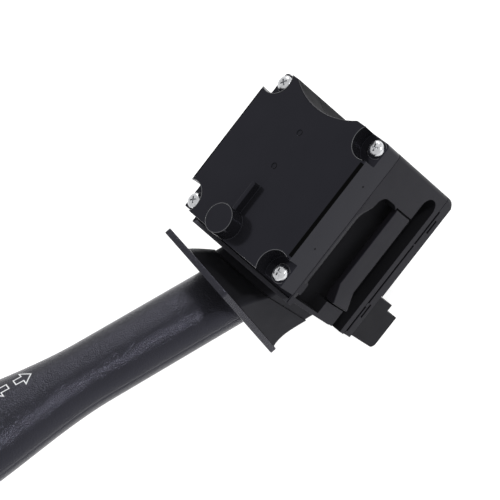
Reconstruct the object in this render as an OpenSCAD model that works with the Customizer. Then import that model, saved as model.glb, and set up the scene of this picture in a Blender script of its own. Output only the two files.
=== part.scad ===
// Steering column stalk switch: turn signal and beam lever with its switch box.
// The origin is the middle of the box's underside. +X points to the steering column,
// +Z to the driver, and the lever leaves the box towards -X.

/* [Box] */
// Length of the switch box, from its front to the column end
box_l = 58.3; // [54:0.1:66]
// Width of the switch box
box_w = 52.5; // [50:0.1:60]
// Height of the switch box, underside to plateau
box_h = 56; // [54:0.1:64]
// Wall thickness of the moulded shells
wall = 2.2; // [1.6:0.1:2.6]
// Rounding along the long edges of the cover
cover_edge_r = 1; // [0.4:0.1:1.5]
// Chamfer of the base plate's lower rear edge
base_chamfer = 2.4; // [1:0.1:3]

/* [Cover] */
// Height of the cover, parting line to plateau
cover_h = 13.9; // [12.5:0.1:16]
// Distance the cover stands back from the box front
cover_setback = 1.9; // [1:0.1:3]
// Depth of the screw pockets below the plateau
pocket_depth = 5.8; // [4:0.1:6.4]
// Radius of the scallop round each screw
pocket_r = 6; // [5:0.1:7]
// Radius of the pivot boss
boss_r = 5.2; // [4.6:0.1:6.5]
// Height of the pivot boss above the plateau
boss_h = 6.1; // [4:0.1:8]
// Length of the rib, from the pivot axis
rib_l = 16.1; // [10:0.1:22]
// Width of the rib
rib_w = 1.7; // [1.2:0.1:3]
// Height of the rib
rib_h = 3; // [1:0.1:4]

/* [Cover screws] */
// Distance from a screw to the cover's front or rear edge
screw_inset_x = 3.5; // [3.3:0.1:5]
// Distance from a screw to the side of the box
screw_inset_y = 3.1; // [2.9:0.1:5]
// Radius of the screw thread
thread_r = 1.5; // [1.2:0.05:1.7]
// Radius of the screw head
head_r = 2.75; // [2.4:0.05:2.85]
// Height of the screw head
head_h = 2; // [1.4:0.1:2.6]
// Length of the screw under its head
screw_l = 12; // [10:0.5:13]

/* [Column recess] */
// Radius of the recess that clears the steering column
column_r = 28; // [24:0.5:36]
// Depth of the recess at its middle
column_depth = 4.3; // [3:0.1:5]
// Sideways place of the column's axis
column_y = 0.6; // [-1:0.1:2]

/* [Side channels] */
// Depth of the side channels
channel_d = 5; // [4.4:0.1:5.4]
// Height of the lower channel's floor above the underside
lower_z = 7.6; // [7:0.1:9]
// Height of the latch arm's lower edge above the underside
arm_z = 15.5; // [14:0.1:17]
// Height of the latch arm, lower to upper edge
arm_h = 9.5; // [8:0.1:11]
// Height of the wall between the upper channel's roof and the cover
upper_drop = 5.5; // [5.1:0.1:9]
// Length of the latch arm, from its root to its tip
arm_l = 37.3; // [30:0.1:42]
// Thickness of the latch arm
arm_t = 2; // [1.6:0.1:2.2]
// Height of the barb on the latch arm
barb_h = 2.6; // [1.5:0.1:2.8]
// Length of the ramp that leads to the barb
barb_l = 6.7; // [5:0.1:9]
// Length of the fixed block in front of the latch arm
land_l = 6.2; // [5:0.1:6.2]
// Distance from the lower channel's end to the column end of the box
lower_end = 4.1; // [3.5:0.1:8]

/* [Base and connector] */
// Height of the base plate
base_h = 5; // [4.5:0.1:6]
// Length of the connector shroud, along X
conn_l = 13.7; // [12:0.1:15]
// Width of the connector shroud, along Y
conn_w = 20; // [18:0.1:20.4]
// Depth of the connector shroud below the underside
conn_h = 16.3; // [12:0.1:18]
// Wall thickness of the connector shroud
conn_wall = 1.5; // [1:0.1:2]
// Number of terminals in each of the two rows
pins_per_row = 6; // [3:1:6]
// Distance between neighbouring terminals
pin_pitch = 2.8; // [2.2:0.1:3]
// Width of a terminal blade
pin_w = 1.5; // [1:0.1:1.7]
// Thickness of a terminal blade
pin_t = 0.64; // [0.5:0.02:0.8]

/* [Turn carrier] */
// Distance from the box front to the turn axis
pivot_from_front = 7; // [6.8:0.1:7.6]
// Sideways place of the turn axis
pivot_y = 1.3; // [0:0.1:2]
// Radius of the carrier's trunnions
trunnion_r = 3; // [2.4:0.1:3.4]
// Height of the tilt pin above the underside
pin_z = 20.5; // [19.5:0.1:21.5]
// Radius of the tilt pin
tilt_pin_r = 2; // [1.5:0.1:2.5]
// Radius of the turn detent track, about the turn axis
track_r = 23; // [22:0.1:25]
// Angle between the turn detent notches
turn_step = 10; // [8:0.5:10]
// Radius of the drive peg's circle, about the turn axis
drive_r = 14; // [13:0.1:15]
// Radius of the drive pegs
peg_r = 1.5; // [1:0.1:1.8]

/* [Lever] */
// Sideways angle of the lever
lever_yaw = 6; // [3:0.5:8]
// Angle at which the lever rises towards the driver
lever_pitch = 28.5; // [25:0.5:30]
// Distance from the tilt pin to the rim plate, along the lever
plate_at = 22.7; // [22:0.1:26]
// Width of the rim plate
plate_w = 36; // [34:0.1:40]
// Height of the rim plate
plate_h = 44.3; // [42:0.1:48]
// Thickness of the rim plate
plate_t = 2.3; // [1.6:0.1:2.8]
// Width of the lever's neck
neck_w = 31.6; // [26:0.1:31.6]
// Height of the lever's neck
neck_h = 28.2; // [22:0.1:28.2]
// Length of the lever beyond the rim plate
lever_l = 119; // [100:1:140]
// Half width of the lever's stem
stem_a = 11.5; // [10:0.1:14]
// Half thickness of the lever's stem
stem_b = 9; // [7.5:0.1:11]
// Half width of the lever's flared end
flare_a = 18.3; // [13:0.1:20]
// Half thickness of the lever's flared end
flare_b = 10.5; // [8:0.1:12]
// Wall thickness of the lever's shells
shell_t = 2; // [1.6:0.1:2.6]
// Radius of the lever's core tube
core_r = 4.5; // [3.5:0.1:5.2]

/* [Fits] */
// Radial clearance of a shaft in its bore
fit = 0.05; // [0.02:0.01:0.1]
// Running gap between pieces that move past each other
gap = 0.3; // [0.2:0.05:0.4]

/* [Hidden] */
$fn = 64;
eps = 0.01;
big = 200;

// Box planes
front_x = -box_l / 2;
rear_x = box_l / 2;
side_y = box_w / 2;
part_z = box_h - cover_h;
upper_z = part_z - upper_drop;
cover_front_x = front_x + cover_setback;
pivot_x = front_x + pivot_from_front;
floor_z = wall;

// Lip in front of the housing, under the cover
lip_out = 1.2;
lip_h = 2.5;
lip_slope = 0.45;
lip_groove_w = 1.5;
lip_groove_d = 1.6;
lip_groove_end = 0.6;
lip_groove_x = cover_front_x - 0.1;
window_top = part_z - lip_h;
seam = 0.12;
rest_gap = 0.4;

// Cover screws
screw_x = [cover_front_x + screw_inset_x, rear_x - screw_inset_x];
screw_y = side_y - screw_inset_y;
pocket_z = box_h - pocket_depth;
hole_r = thread_r + 0.15;
screw_tip_z = pocket_z - screw_l;
crown_r = 6.6;
socket_r = 1.35;
socket_w = 0.55;
socket_d = 1.2;

// Cover details
cover_roof = 2.6;
pocket_step = 1.2;
dimple_r = 0.95;
dimple_depth = 0.3;
dimple_gap = [7.9, 21.3];
dimple_x = [for (d = dimple_gap) pivot_x + rib_l + d];
trunnion_drop = 2.2;
trunnion_top = box_h + boss_h - trunnion_drop;

// Column recess
column_x = rear_x - column_depth + column_r;
recess_floor_x = rear_x - column_depth;

// Inner chamber between the side channels
chamber_wall = 1.6;
chamber_y = side_y - channel_d - chamber_wall;
chamber_front_x = front_x + wall;
chamber_rear_x = recess_floor_x - wall;
bulkhead_room = 5.4;
bulkhead_x = pivot_x + track_r + bulkhead_room;
bulkhead_t = 1.8;
shelf_drop = 4.3;
shelf_z = part_z - shelf_drop;
shelf_t = 2;

// Side channels and latch arms
channel_r = 3.9;
arm_top = arm_z + arm_h;
arm_tip_x = pivot_x;
arm_root_x = arm_tip_x + arm_l;
hinge_gap = 0.3;
front_rim = 1.5;
lower_end_x = rear_x - lower_end;
upper_end_x = arm_root_x + 0.5;
land_setback = 0.2;
land_end_x = front_x + land_setback + land_l;
land_drop = 1.9;
cove_r = 5;

// Base plate slots, given from the front of the box
slot_h = 0.9;
slot_d = 1.6;
seam_slots = [[1.7, 12.1], [13.6, 38.3], [39, 52.6]];
snap_slots = [[8.1, 13.6], [44.3, 49.5]];
snap_z = 2.3;

// Connector and terminals
conn_x0 = front_x + 1.2;
conn_y0 = -side_y + 0.6;
conn_seat = 0.6;
seat_edge = 0.4;
rib_key_l = 2.7;
rib_key_h = 9.1;
rib_key_w = 6;
conn_roof = 2;
conn_corner = 2.2;
pin_row_gap = 4.2;
pin_x = [conn_x0 + conn_l / 2 - pin_row_gap / 2, conn_x0 + conn_l / 2 + pin_row_gap / 2];
pin_y0 = conn_y0 + conn_w / 2 - pin_pitch * (pins_per_row - 1) / 2;
pin_tip_z = -conn_h + 3.5;

// Contact board
board_t = 1.6;
board_z = floor_z;
board_top = board_z + board_t;
contact_t = 0.4;
contact_pitch = 3.2;
contact_w = 2.2;
contact_l = 22;
contact_short = 2;
bridge_l = 4.4;
bridge_w = 3;
bridge_offset = [1.9, 4];
trunnion_base_r = trunnion_r + 2.2;
trunnion_base_top = board_top + 3;
pin_top_z = board_top + 0.8;

// Turn carrier
yoke_bottom = trunnion_base_top + gap;
yoke_plate = 2.2;
yoke_web = 1.6;
rail_t = 1;
rail_half = 8;
root_half = 11.8;
yoke_in = root_half + gap;
yoke_t = 2.4;
yoke_out = yoke_in + yoke_t;
yoke_lead = 4.4;
yoke_tail = 17;
yoke_drop = 3.6;
yoke_front = pivot_x - yoke_lead;
yoke_rear = pivot_x + yoke_tail;
yoke_top = part_z - yoke_drop;
beam_reach = 12.6;
beam_face_x = pivot_x + beam_reach;
turn_tube = 4.4;
turn_bore = 2.4;
tube_end = 2;
turn_rise = 3.9;
turn_z = yoke_top + turn_rise;
turn_tube_at = [5.2, 18.6];
turn_tube_x = [for (d = turn_tube_at) pivot_x + d];
turn_spring_l = 4;
turn_stroke = 1;
notch_depth = 0.7;
track_back = 2.2;
track_half = 9;
track_h = 7.5;
spring_wire = 0.3;
turn_tip_x = pivot_x + track_r - gap;

// Contact slider
slider_top = board_top + contact_t + 0.1 + contact_t + 2;
slider_bottom = board_top + contact_t + 0.1 + contact_t;
slider_half_x = 5;
slider_half_y = 8;
guide_t = 1.2;
drive_x = pivot_x + drive_r;
slot_extra = 0.7;

// Lever
pin_pos = [pivot_x, pivot_y, pin_z];
plate_yaw = 5.4;
plate_pitch = 10.9;
plate_rise = 3.2;
plate_corner = 1.6;
plate_pos = lever_point(plate_at) + plate_rise * plate_up();
neck_out = 4.2;
neck_out_x = front_x - neck_out;
neck_side = -1;
neck_shift = -3.5;
neck_corner = 3;
neck_hood = 6;
neck_trim = 1.6;
trumpet_steps = 9;
trumpet_lap = 0.4;
trumpet_edge = 0.35;
trumpet_top = 9.5;
trumpet_hood = 8;
core_start = 6;
core_plug = 12;
core_wall = 1.2;
cap_l = 9;
cap_steps = 6;
cap_roundness = 0.8;
cap_shrink = 8;
flare_from = 52.2;
flare_len = 61.5;
slant_len = 22;
oval_power = 2.3;
half_n = 16;
shell_start = plate_t + 0.6;
up_slant = tan(lever_pitch - plate_pitch);
side_slant = tan(plate_yaw - lever_yaw);
former_at = [35, 69, 99];
former_t = 1.6;
cap_plug = 4;
shell_end = lever_l - cap_l;
lever_stops = [12, 22, 34, 48, 58, 68, 78, 88, 98, 108, 114];
ring_n = 32;
root_lead = 7.2;
root_tail = 9.4;
neck_lap = 6.4;
root_front = pivot_x - root_lead;
root_rear = pivot_x + root_tail;
neck_back_x = pivot_x - neck_lap;
root_half_h = 7.4;
beam_step = 6;
beam_bore = 2;
beam_half = 5;
beam_track_h = 17;
beam_tip_x = pivot_x + beam_reach - gap;
beam_spring_l = 2.6;
beam_stroke = 0.8;
pin_cover = 0.6;
beam_bore_x = pivot_x + tilt_pin_r + pin_cover;
beam_plunger_l = beam_tip_x - beam_bore_x - beam_spring_l - beam_stroke - gap;

// Beam slider on the near cheek of the carrier
beam_peg_at = 5.4;
beam_peg_x = pivot_x + beam_peg_at;
beam_peg_r = 1.2;
beam_slider_t = 1.7;
beam_slider_w = 5;
beam_slider_h = 10;

// Cancelling finger
finger_w = 6;
finger_h = 3.6;
finger_out = 2.3;
finger_z = shelf_z + 0.2;
finger_rear_x = recess_floor_x + finger_out;
finger_l = 16;
finger_bore = 1.35;

function lerp(a, b, t) = a + (b - a) * t;
function ease(t) = t * t * (3 - 2 * t);
function clamp01(t) = min(1, max(0, t));

// A point on the lever's axis, at distance s from the tilt pin
function lever_dir() = [
    -cos(lever_pitch) * cos(lever_yaw),
    cos(lever_pitch) * sin(lever_yaw),
    sin(lever_pitch)
];
function lever_point(s) = pin_pos + s * lever_dir();
// Outward direction of the rim plate
function plate_dir() = [
    -cos(plate_pitch) * cos(plate_yaw),
    cos(plate_pitch) * sin(plate_yaw),
    sin(plate_pitch)
];
// Upward direction in the plane of the rim plate
function plate_up() = [
    sin(plate_pitch) * cos(plate_yaw),
    -sin(plate_pitch) * sin(plate_yaw),
    cos(plate_pitch)
];
// A point on the lever's axis, at the given X
function lever_at_x(x) = lever_point((x - pivot_x) / lever_dir()[0]);

// Rounded rectangle as n points: half sizes a and b, corner radius r, and hood at the far top
function rrect(a, b, r, hood, n) = [
    for (i = [0:n - 1])
        let (t = 360 * (i + 0.5) / n, c = cos(t), s = sin(t), q = c < 0 && s > 0 ? hood : r)
            [sign(c) * (a - q) + q * c, sign(s) * (b - q) + q * s]
];
// Places a flat ring: its plane faces -X, turned by yaw and pitch
function place(pts, centre, yaw, pitch) = [
    for (p = pts)
        centre + [
            -p[0] * sin(yaw) + p[1] * sin(pitch) * cos(yaw),
            -p[0] * cos(yaw) - p[1] * sin(pitch) * sin(yaw),
            p[1] * cos(pitch)
        ]
];
function flat(lists) = [for (l = lists) for (e = l) e];

// Closed skin through rings of equal point count
module skin(rings) {
    n = len(rings[0]);
    m = len(rings);
    sides = [
        for (j = [0:m - 2]) for (i = [0:n - 1])
            let (k = (i + 1) % n)
                each [
                    [j * n + i, j * n + k, (j + 1) * n + k],
                    [j * n + i, (j + 1) * n + k, (j + 1) * n + i]
                ]
    ];
    ends = [[for (i = [n - 1:-1:0]) i], [for (i = [0:n - 1]) (m - 1) * n + i]];
    polyhedron(flat(rings), concat(sides, ends), convexity = 6);
}

// Coil spring along +X: mean radius r, wire radius w, length l
module coil(r, w, l, turns) {
    steps = 14;
    sect = 6;
    total = turns * steps;
    skin([
        for (k = [0:total])
            let (t = 360 * k / steps, x = w + (l - 2 * w) * k / total)
                [
                    for (i = [0:sect - 1])
                        let (q = -360 * i / sect, c = r + w * cos(q))
                            [x + w * sin(q), c * cos(t), c * sin(t)]
                ]
    ]);
}

// Block between two corners
module block(a, b) {
    translate(a) cube(b - a);
}

// Bar along X with rounded ends in the XZ plane, cut into the side face
module side_slot(x0, x1, z0, z1, depth, r) {
    translate([0, -side_y + depth, 0]) rotate([90, 0, 0]) linear_extrude(depth + 1) {
        translate([x0, z0]) square([x1 - x0 - r, z1 - z0]);
        translate([x1 - 2 * r, z0 + r]) square([2 * r, z1 - z0 - 2 * r]);
        translate([x1 - r, z0 + r]) circle(r);
        translate([x1 - r, z1 - r]) circle(r);
    }
}

module both_sides() {
    children();
    mirror([0, 1, 0]) children();
}

// Outline of the box seen from the driver, front edge at x0
module outline(x0) {
    corner = 1.5;
    difference() {
        union() {
            translate([x0, -side_y]) square([rear_x - x0 - corner, box_w]);
            translate([x0, -side_y + corner]) square([rear_x - x0, box_w - 2 * corner]);
            for (s = [-1, 1]) translate([rear_x - corner, s * (side_y - corner)]) circle(corner);
        }
        translate([column_x, column_y]) circle(column_r, $fn = 160);
    }
}

// Section of the cover across its length, with rounded upper edges
module cover_section() {
    translate([-side_y, part_z]) square([box_w, cover_h - cover_edge_r]);
    translate([-side_y + cover_edge_r, part_z]) square([box_w - 2 * cover_edge_r, cover_h]);
    for (s = [-1, 1])
        translate([s * (side_y - cover_edge_r), box_h - cover_edge_r]) circle(cover_edge_r);
}

module screw_places() {
    for (x = screw_x, s = [-1, 1]) translate([x, s * screw_y, 0]) children();
}

module cover_shell() {
    difference() {
        intersection() {
            translate([0, 0, part_z]) linear_extrude(cover_h) outline(cover_front_x);
            translate([-big / 2, 0, 0]) rotate([90, 0, 90]) linear_extrude(big) cover_section();
        }
        block([cover_front_x + wall, -side_y + wall, part_z - 1],
            [chamber_rear_x, side_y - wall, box_h - cover_roof]);
    }
}

module screw_posts() {
    intersection() {
        screw_places() translate([0, 0, part_z]) cylinder(r = pocket_r + wall, h = pocket_depth + cover_h);
        translate([0, 0, part_z]) linear_extrude(cover_h - cover_edge_r) outline(cover_front_x);
    }
}

module cover() {
    color([0.15, 0.15, 0.16]) {
        difference() {
            union() {
                cover_shell();
                screw_posts();
                translate([pivot_x, pivot_y, box_h - cover_roof]) cylinder(r = boss_r, h = cover_roof + boss_h);
                block([pivot_x, pivot_y - rib_w / 2, box_h - eps],
                    [pivot_x + rib_l - rib_w / 2, pivot_y + rib_w / 2, box_h + rib_h]);
                translate([pivot_x + rib_l - rib_w / 2, pivot_y, box_h - eps]) cylinder(d = rib_w, h = rib_h + eps);
            }
            for (x = screw_x, s = [-1, 1]) translate([x, s * screw_y, pocket_z]) pocket_cut(x, s);
            screw_places() translate([0, 0, part_z - 1]) cylinder(r = hole_r, h = box_h);
            translate([pivot_x, pivot_y, part_z]) cylinder(r = trunnion_r + fit, h = trunnion_top + gap - part_z);
            for (x = dimple_x)
                translate([x, pivot_y, box_h - dimple_depth]) cylinder(r = dimple_r, h = 1);
        }
    }
}

// Pocket shape at the screw's place: scallop, and open to the side and the end
module pocket_cut(x, s) {
    cylinder(r = pocket_r, h = box_h);
    mirror([x < 0 ? 1 : 0, 0, 0]) mirror([0, s < 0 ? 1 : 0, 0])
        block([0, pocket_step - pocket_r, 0], [big, big, box_h]);
}

module lower_channel() {
    side_slot(front_x - 1, lower_end_x, lower_z, arm_z, channel_d, channel_r);
}

module upper_channel() {
    side_slot(front_x + front_rim, upper_end_x, arm_top, upper_z, channel_d, channel_r);
}

// Rounding that leads the side wall into the upper channel
module channel_cove() {
    x0 = front_x + front_rim;
    difference() {
        block([x0, -side_y - 1, upper_z - eps], [upper_end_x - channel_r, -side_y + cove_r, upper_z + cove_r]);
        translate([x0 - 1, -side_y + cove_r, upper_z + cove_r]) rotate([0, 90, 0]) cylinder(r = cove_r, h = box_l);
    }
}

// Sloping top of the front lip and the groove between it and the cover
module lip_groove() {
    x0 = front_x - lip_out;
    x1 = lip_groove_x - lip_groove_w;
    translate([0, side_y - lip_groove_end, 0]) rotate([90, 0, 0]) linear_extrude(box_w - 2 * lip_groove_end)
        polygon([
            [x0, part_z],
            [x1, part_z - lip_slope],
            [x1, part_z - lip_groove_d],
            [lip_groove_x, part_z - lip_groove_d],
            [lip_groove_x, part_z + 1],
            [x0, part_z + 1]
        ]);
}

// Room behind and round the latch arm
module arm_room() {
    block([front_x + front_rim, -side_y - 1, arm_z - 1],
        [arm_root_x + hinge_gap, -side_y + channel_d, arm_top + 1]);
}

module arm_land() {
    block([front_x + land_setback, -side_y, arm_z - land_drop],
        [land_end_x, -side_y + channel_d + eps, arm_top - land_setback]);
}

module housing_body() {
    difference() {
        union() {
            translate([0, 0, base_h]) linear_extrude(part_z - base_h) outline(front_x);
            block([front_x - lip_out, -side_y, window_top], [front_x + 2, side_y, part_z]);
        }
        both_sides() {
            lower_channel();
            upper_channel();
            channel_cove();
            arm_room();
        }
        lip_groove();
    }
    both_sides() arm_land();
}

module housing() {
    color([0.2, 0.2, 0.22]) {
        difference() {
            housing_body();
            // Front chamber with the wide front window
            block([front_x - 5, -chamber_y, lower_z - 2.6], [chamber_front_x + 1, chamber_y, window_top]);
            block([chamber_front_x, -chamber_y, base_h - 1], [bulkhead_x, chamber_y, big]);
            // Rear chamber under and over the finger's shelf
            block([bulkhead_x + bulkhead_t, -chamber_y, base_h - 1], [chamber_rear_x, chamber_y, shelf_z - shelf_t]);
            block([bulkhead_x + bulkhead_t, -chamber_y, shelf_z], [chamber_rear_x, chamber_y, big]);
            // Wider mouth above the side channels
            block([chamber_front_x, -side_y + wall, upper_z + wall], [screw_x[1] - 7, side_y - wall, big]);
            // Notch for the cancelling finger in the recess wall
            block([chamber_rear_x - 1, column_y - finger_w / 2 - gap, shelf_z], [rear_x + 1, column_y + finger_w / 2 + gap, big]);
            screw_places() translate([0, 0, screw_tip_z - 0.4]) cylinder(r = thread_r, h = big);
        }
        screw_lands();
        finger_guides();
    }
}

// Corner columns that take the front screws
module screw_lands() {
    difference() {
        for (s = [-1, 1])
            translate([screw_x[0], s * screw_y, upper_z + wall]) intersection() {
                cylinder(r = 3.6, h = part_z - upper_z - wall);
                block([-big, -screw_inset_y, 0], [big, screw_inset_y, big]);
            }
        screw_places() translate([0, 0, screw_tip_z - 0.4]) cylinder(r = thread_r, h = big);
    }
}

module finger_guides() {
    for (s = [-1, 1])
        translate([0, column_y + s * (finger_w / 2 + gap + 0.6), 0])
            block([bulkhead_x + bulkhead_t - eps, -0.6, shelf_z - eps], [chamber_rear_x + eps, 0.6, shelf_z + 3]);
}

module base_plate() {
    color([0.2, 0.2, 0.22]) {
        difference() {
            union() {
                difference() {
                    linear_extrude(base_h - seam) outline(front_x + 0.3);
                    // Corner of the underside that the connector shroud seats in
                    block([-big, -big, -1], [conn_x0 + conn_l + rib_key_l + seat_edge, conn_y0 + conn_w + seat_edge, conn_seat]);
                    block([chamber_front_x, -chamber_y, floor_z], [chamber_rear_x, chamber_y, box_h]);
                }
                translate([pivot_x, pivot_y, 1]) cylinder(r = trunnion_base_r, h = trunnion_base_top - 1);
            }
            translate([rear_x, 0, 0]) rotate([0, 45, 0])
                cube([base_chamfer * sqrt(2), big, base_chamfer * sqrt(2)], center = true);
            both_sides() base_slots();
            translate([pivot_x, pivot_y, floor_z - 1.2]) cylinder(r = trunnion_r + fit, h = box_h);
            terminal_holes();
        }
    }
}

module base_slots() {
    for (p = seam_slots)
        block([front_x + p[0], -side_y - 1, base_h - slot_h], [front_x + p[1], -side_y + slot_d, base_h]);
    for (p = snap_slots)
        block([front_x + p[0], -side_y - 1, snap_z], [front_x + p[1], -side_y + slot_d, snap_z + slot_h]);
}

module each_terminal() {
    for (x = pin_x, i = [0:pins_per_row - 1])
        translate([x, pin_y0 + i * pin_pitch, 0]) children();
}

module terminal_blade(z0, z1) {
    block([-pin_t / 2, -pin_w / 2, z0], [pin_t / 2, pin_w / 2, z1]);
}

module terminal_holes() {
    each_terminal() terminal_blade(-conn_h - 1, box_h);
}

module terminal_pins() {
    color([0.8, 0.78, 0.7]) each_terminal() terminal_blade(pin_tip_z, pin_top_z);
}

module connector_shroud() {
    color([0.2, 0.2, 0.21]) {
        difference() {
            union() {
                block([conn_x0, conn_y0, -conn_h], [conn_x0 + conn_l, conn_y0 + conn_w, conn_seat]);
                block([conn_x0 + conn_l - eps, conn_y0, -rib_key_h],
                    [conn_x0 + conn_l + rib_key_l, conn_y0 + rib_key_w, conn_seat]);
            }
            block([conn_x0 + conn_wall, conn_y0 + conn_wall, -conn_h - 1],
                [conn_x0 + conn_l - conn_wall, conn_y0 + conn_w - conn_wall, -conn_roof]);
            terminal_holes();
            shroud_corner();
        }
    }
}

// Rounds the shroud's lower front edge
module shroud_corner() {
    difference() {
        block([conn_x0 - 1, conn_y0 - 1, -conn_h - 1],
            [conn_x0 + conn_corner, conn_y0 + conn_w + 1, -conn_h + conn_corner]);
        translate([conn_x0 + conn_corner, conn_y0 - 2, -conn_h + conn_corner]) rotate([-90, 0, 0])
            cylinder(r = conn_corner, h = conn_w + 4);
    }
}

module cover_screws() {
    color([0.8, 0.8, 0.82]) screw_places() difference() {
        union() {
            translate([0, 0, screw_tip_z]) cylinder(r = thread_r, h = screw_l);
            translate([0, 0, pocket_z]) intersection() {
                cylinder(r = head_r, h = head_h);
                translate([0, 0, head_h - crown_r]) sphere(r = crown_r);
            }
        }
        for (a = [0, 90]) rotate(a)
            block([-socket_r, -socket_w / 2, pocket_z + head_h - socket_d], [socket_r, socket_w / 2, big]);
    }
}

module contact_board() {
    color([0.45, 0.33, 0.2]) difference() {
        union() {
            block([chamber_front_x + gap, -chamber_y + gap, board_z], [bulkhead_x - gap, chamber_y - gap, board_top]);
            // Guide ribs of the contact slider
            for (s = [-1, 1])
                translate([drive_x + s * (slider_half_x + gap + guide_t / 2), 0, 0])
                    block([-guide_t / 2, pivot_y - 13, board_top - eps], [guide_t / 2, pivot_y + 13, slider_top - 0.4]);
        }
        translate([pivot_x, pivot_y, 0]) cylinder(r = trunnion_base_r + 0.2, h = box_h);
        terminal_holes();
    }
}

// Three stationary contact tracks under the slider
module fixed_contacts() {
    color([0.8, 0.5, 0.25])
        for (i = [-1:1])
            translate([drive_x + i * contact_pitch, pivot_y, board_top + contact_t / 2])
                cube([contact_w, contact_l - 2 * abs(i) * contact_short, contact_t], center = true);
}

module slider_bridges() {
    color([0.85, 0.6, 0.3])
        for (i = [-1, 1])
            translate([drive_x + i * bridge_offset[0], pivot_y + i * bridge_offset[1], slider_bottom - contact_t / 2])
                cube([bridge_l, bridge_w, contact_t], center = true);
}

module contact_slider() {
    color([0.85, 0.84, 0.8]) difference() {
        block([drive_x - slider_half_x, pivot_y - slider_half_y, slider_bottom],
            [drive_x + slider_half_x, pivot_y + slider_half_y, slider_top]);
        translate([drive_x, pivot_y, 0])
            block([-peg_r - slot_extra, -peg_r - fit, 0], [peg_r + slot_extra, peg_r + fit, box_h]);
    }
}

module detent_track() {
    z0 = turn_z - track_h / 2;
    color([0.85, 0.84, 0.8]) difference() {
        block([pivot_x + track_r - track_back, pivot_y - track_half, z0], [bulkhead_x, pivot_y + track_half, z0 + track_h]);
        translate([pivot_x, pivot_y, z0 - 1]) cylinder(r = track_r, h = track_h + 2, $fn = 160);
        for (i = [-1:1])
            translate([pivot_x, pivot_y, z0 - 1]) rotate(i * turn_step)
                translate([track_r - turn_bore + notch_depth, 0, 0]) cylinder(r = turn_bore, h = track_h + 2);
    }
}

module latch_arm() {
    arm_y = -side_y + arm_t;
    hinge_x = arm_root_x - arm_t / 2;
    color([0.2, 0.2, 0.22]) translate([0, 0, arm_z]) linear_extrude(arm_h) {
        polygon([
            [hinge_x, -side_y], [hinge_x, arm_y], [arm_tip_x + 2, arm_y], [arm_tip_x, arm_y - 0.8],
            [arm_tip_x, -side_y - barb_h + 0.4], [arm_tip_x + 0.4, -side_y - barb_h], [arm_tip_x + barb_l, -side_y]
        ]);
        translate([hinge_x, arm_y - arm_t / 2]) circle(arm_t / 2);
    }
}

module latch_arm_near() {
    latch_arm();
}

module latch_arm_far() {
    mirror([0, 1, 0]) latch_arm();
}

module turn_carrier() {
    color([0.85, 0.84, 0.8]) difference() {
        union() {
            yoke_frame();
            translate([pivot_x, pivot_y, floor_z - 0.9]) cylinder(r = trunnion_r, h = yoke_bottom + 1 - floor_z + 0.9);
            translate([pivot_x, pivot_y, yoke_top - 1]) cylinder(r = trunnion_r, h = trunnion_top - yoke_top + 1);
            // Detent tube on the upper plate
            block([turn_tube_x[0], pivot_y - turn_tube, yoke_top - eps], [turn_tube_x[1], pivot_y + turn_tube, turn_z + turn_tube - 0.4]);
            translate([drive_x, pivot_y, slider_bottom + gap]) cylinder(r = peg_r, h = yoke_bottom - slider_bottom);
        }
        translate([turn_tube_x[0] + tube_end, pivot_y, turn_z]) rotate([0, 90, 0]) cylinder(r = turn_bore + fit, h = big);
        translate([pivot_x, pivot_y + yoke_out + 1, pin_z]) rotate([90, 0, 0]) cylinder(r = tilt_pin_r, h = 2 * yoke_out + 2);
        // Slot for the beam peg in the near cheek
        block([beam_peg_x - beam_peg_r - gap, pivot_y - yoke_out - 1, pin_z - beam_peg_r - 1.2],
            [beam_peg_x + beam_peg_r + gap, pivot_y - yoke_in + 1, pin_z + beam_peg_r + 1.2]);
    }
}

module yoke_frame() {
    for (s = [-1, 1])
        translate([0, pivot_y + s * (yoke_in + yoke_t / 2), 0])
            block([yoke_front, -yoke_t / 2, yoke_bottom], [yoke_rear, yoke_t / 2, yoke_top]);
    block([yoke_front, pivot_y - yoke_out, yoke_bottom], [yoke_rear, pivot_y + yoke_out, yoke_bottom + yoke_plate]);
    block([yoke_front, pivot_y - yoke_out, yoke_top - yoke_plate], [yoke_rear, pivot_y + yoke_out, yoke_top]);
    block([yoke_rear - yoke_web, pivot_y - yoke_out, yoke_bottom], [yoke_rear, pivot_y + yoke_out, yoke_top]);
    // Rails that guide the beam slider on the near cheek
    for (s = [-1, 1])
        translate([beam_peg_x + s * (beam_slider_w / 2 + gap + rail_t / 2), 0, 0])
            block([-rail_t / 2, pivot_y - yoke_out - beam_slider_t, pin_z - rail_half],
                [rail_t / 2, pivot_y - yoke_out + eps, pin_z + rail_half]);
}

module tilt_pin() {
    color([0.75, 0.75, 0.77])
        translate([pivot_x, pivot_y + yoke_out, pin_z]) rotate([90, 0, 0]) cylinder(r = tilt_pin_r, h = 2 * yoke_out);
}

module turn_plunger() {
    length = turn_tip_x - turn_tube_x[0] - tube_end - turn_spring_l - turn_stroke - rest_gap;
    color([0.9, 0.9, 0.88]) translate([turn_tip_x - length, pivot_y, turn_z]) rotate([0, 90, 0]) {
        cylinder(r = turn_bore, h = length - turn_bore);
        translate([0, 0, length - turn_bore]) sphere(r = turn_bore);
    }
}

module turn_spring() {
    color([0.7, 0.7, 0.72]) translate([turn_tube_x[0] + tube_end, pivot_y, turn_z]) coil(turn_bore - 0.7, spring_wire, turn_spring_l, 5);
}

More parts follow.
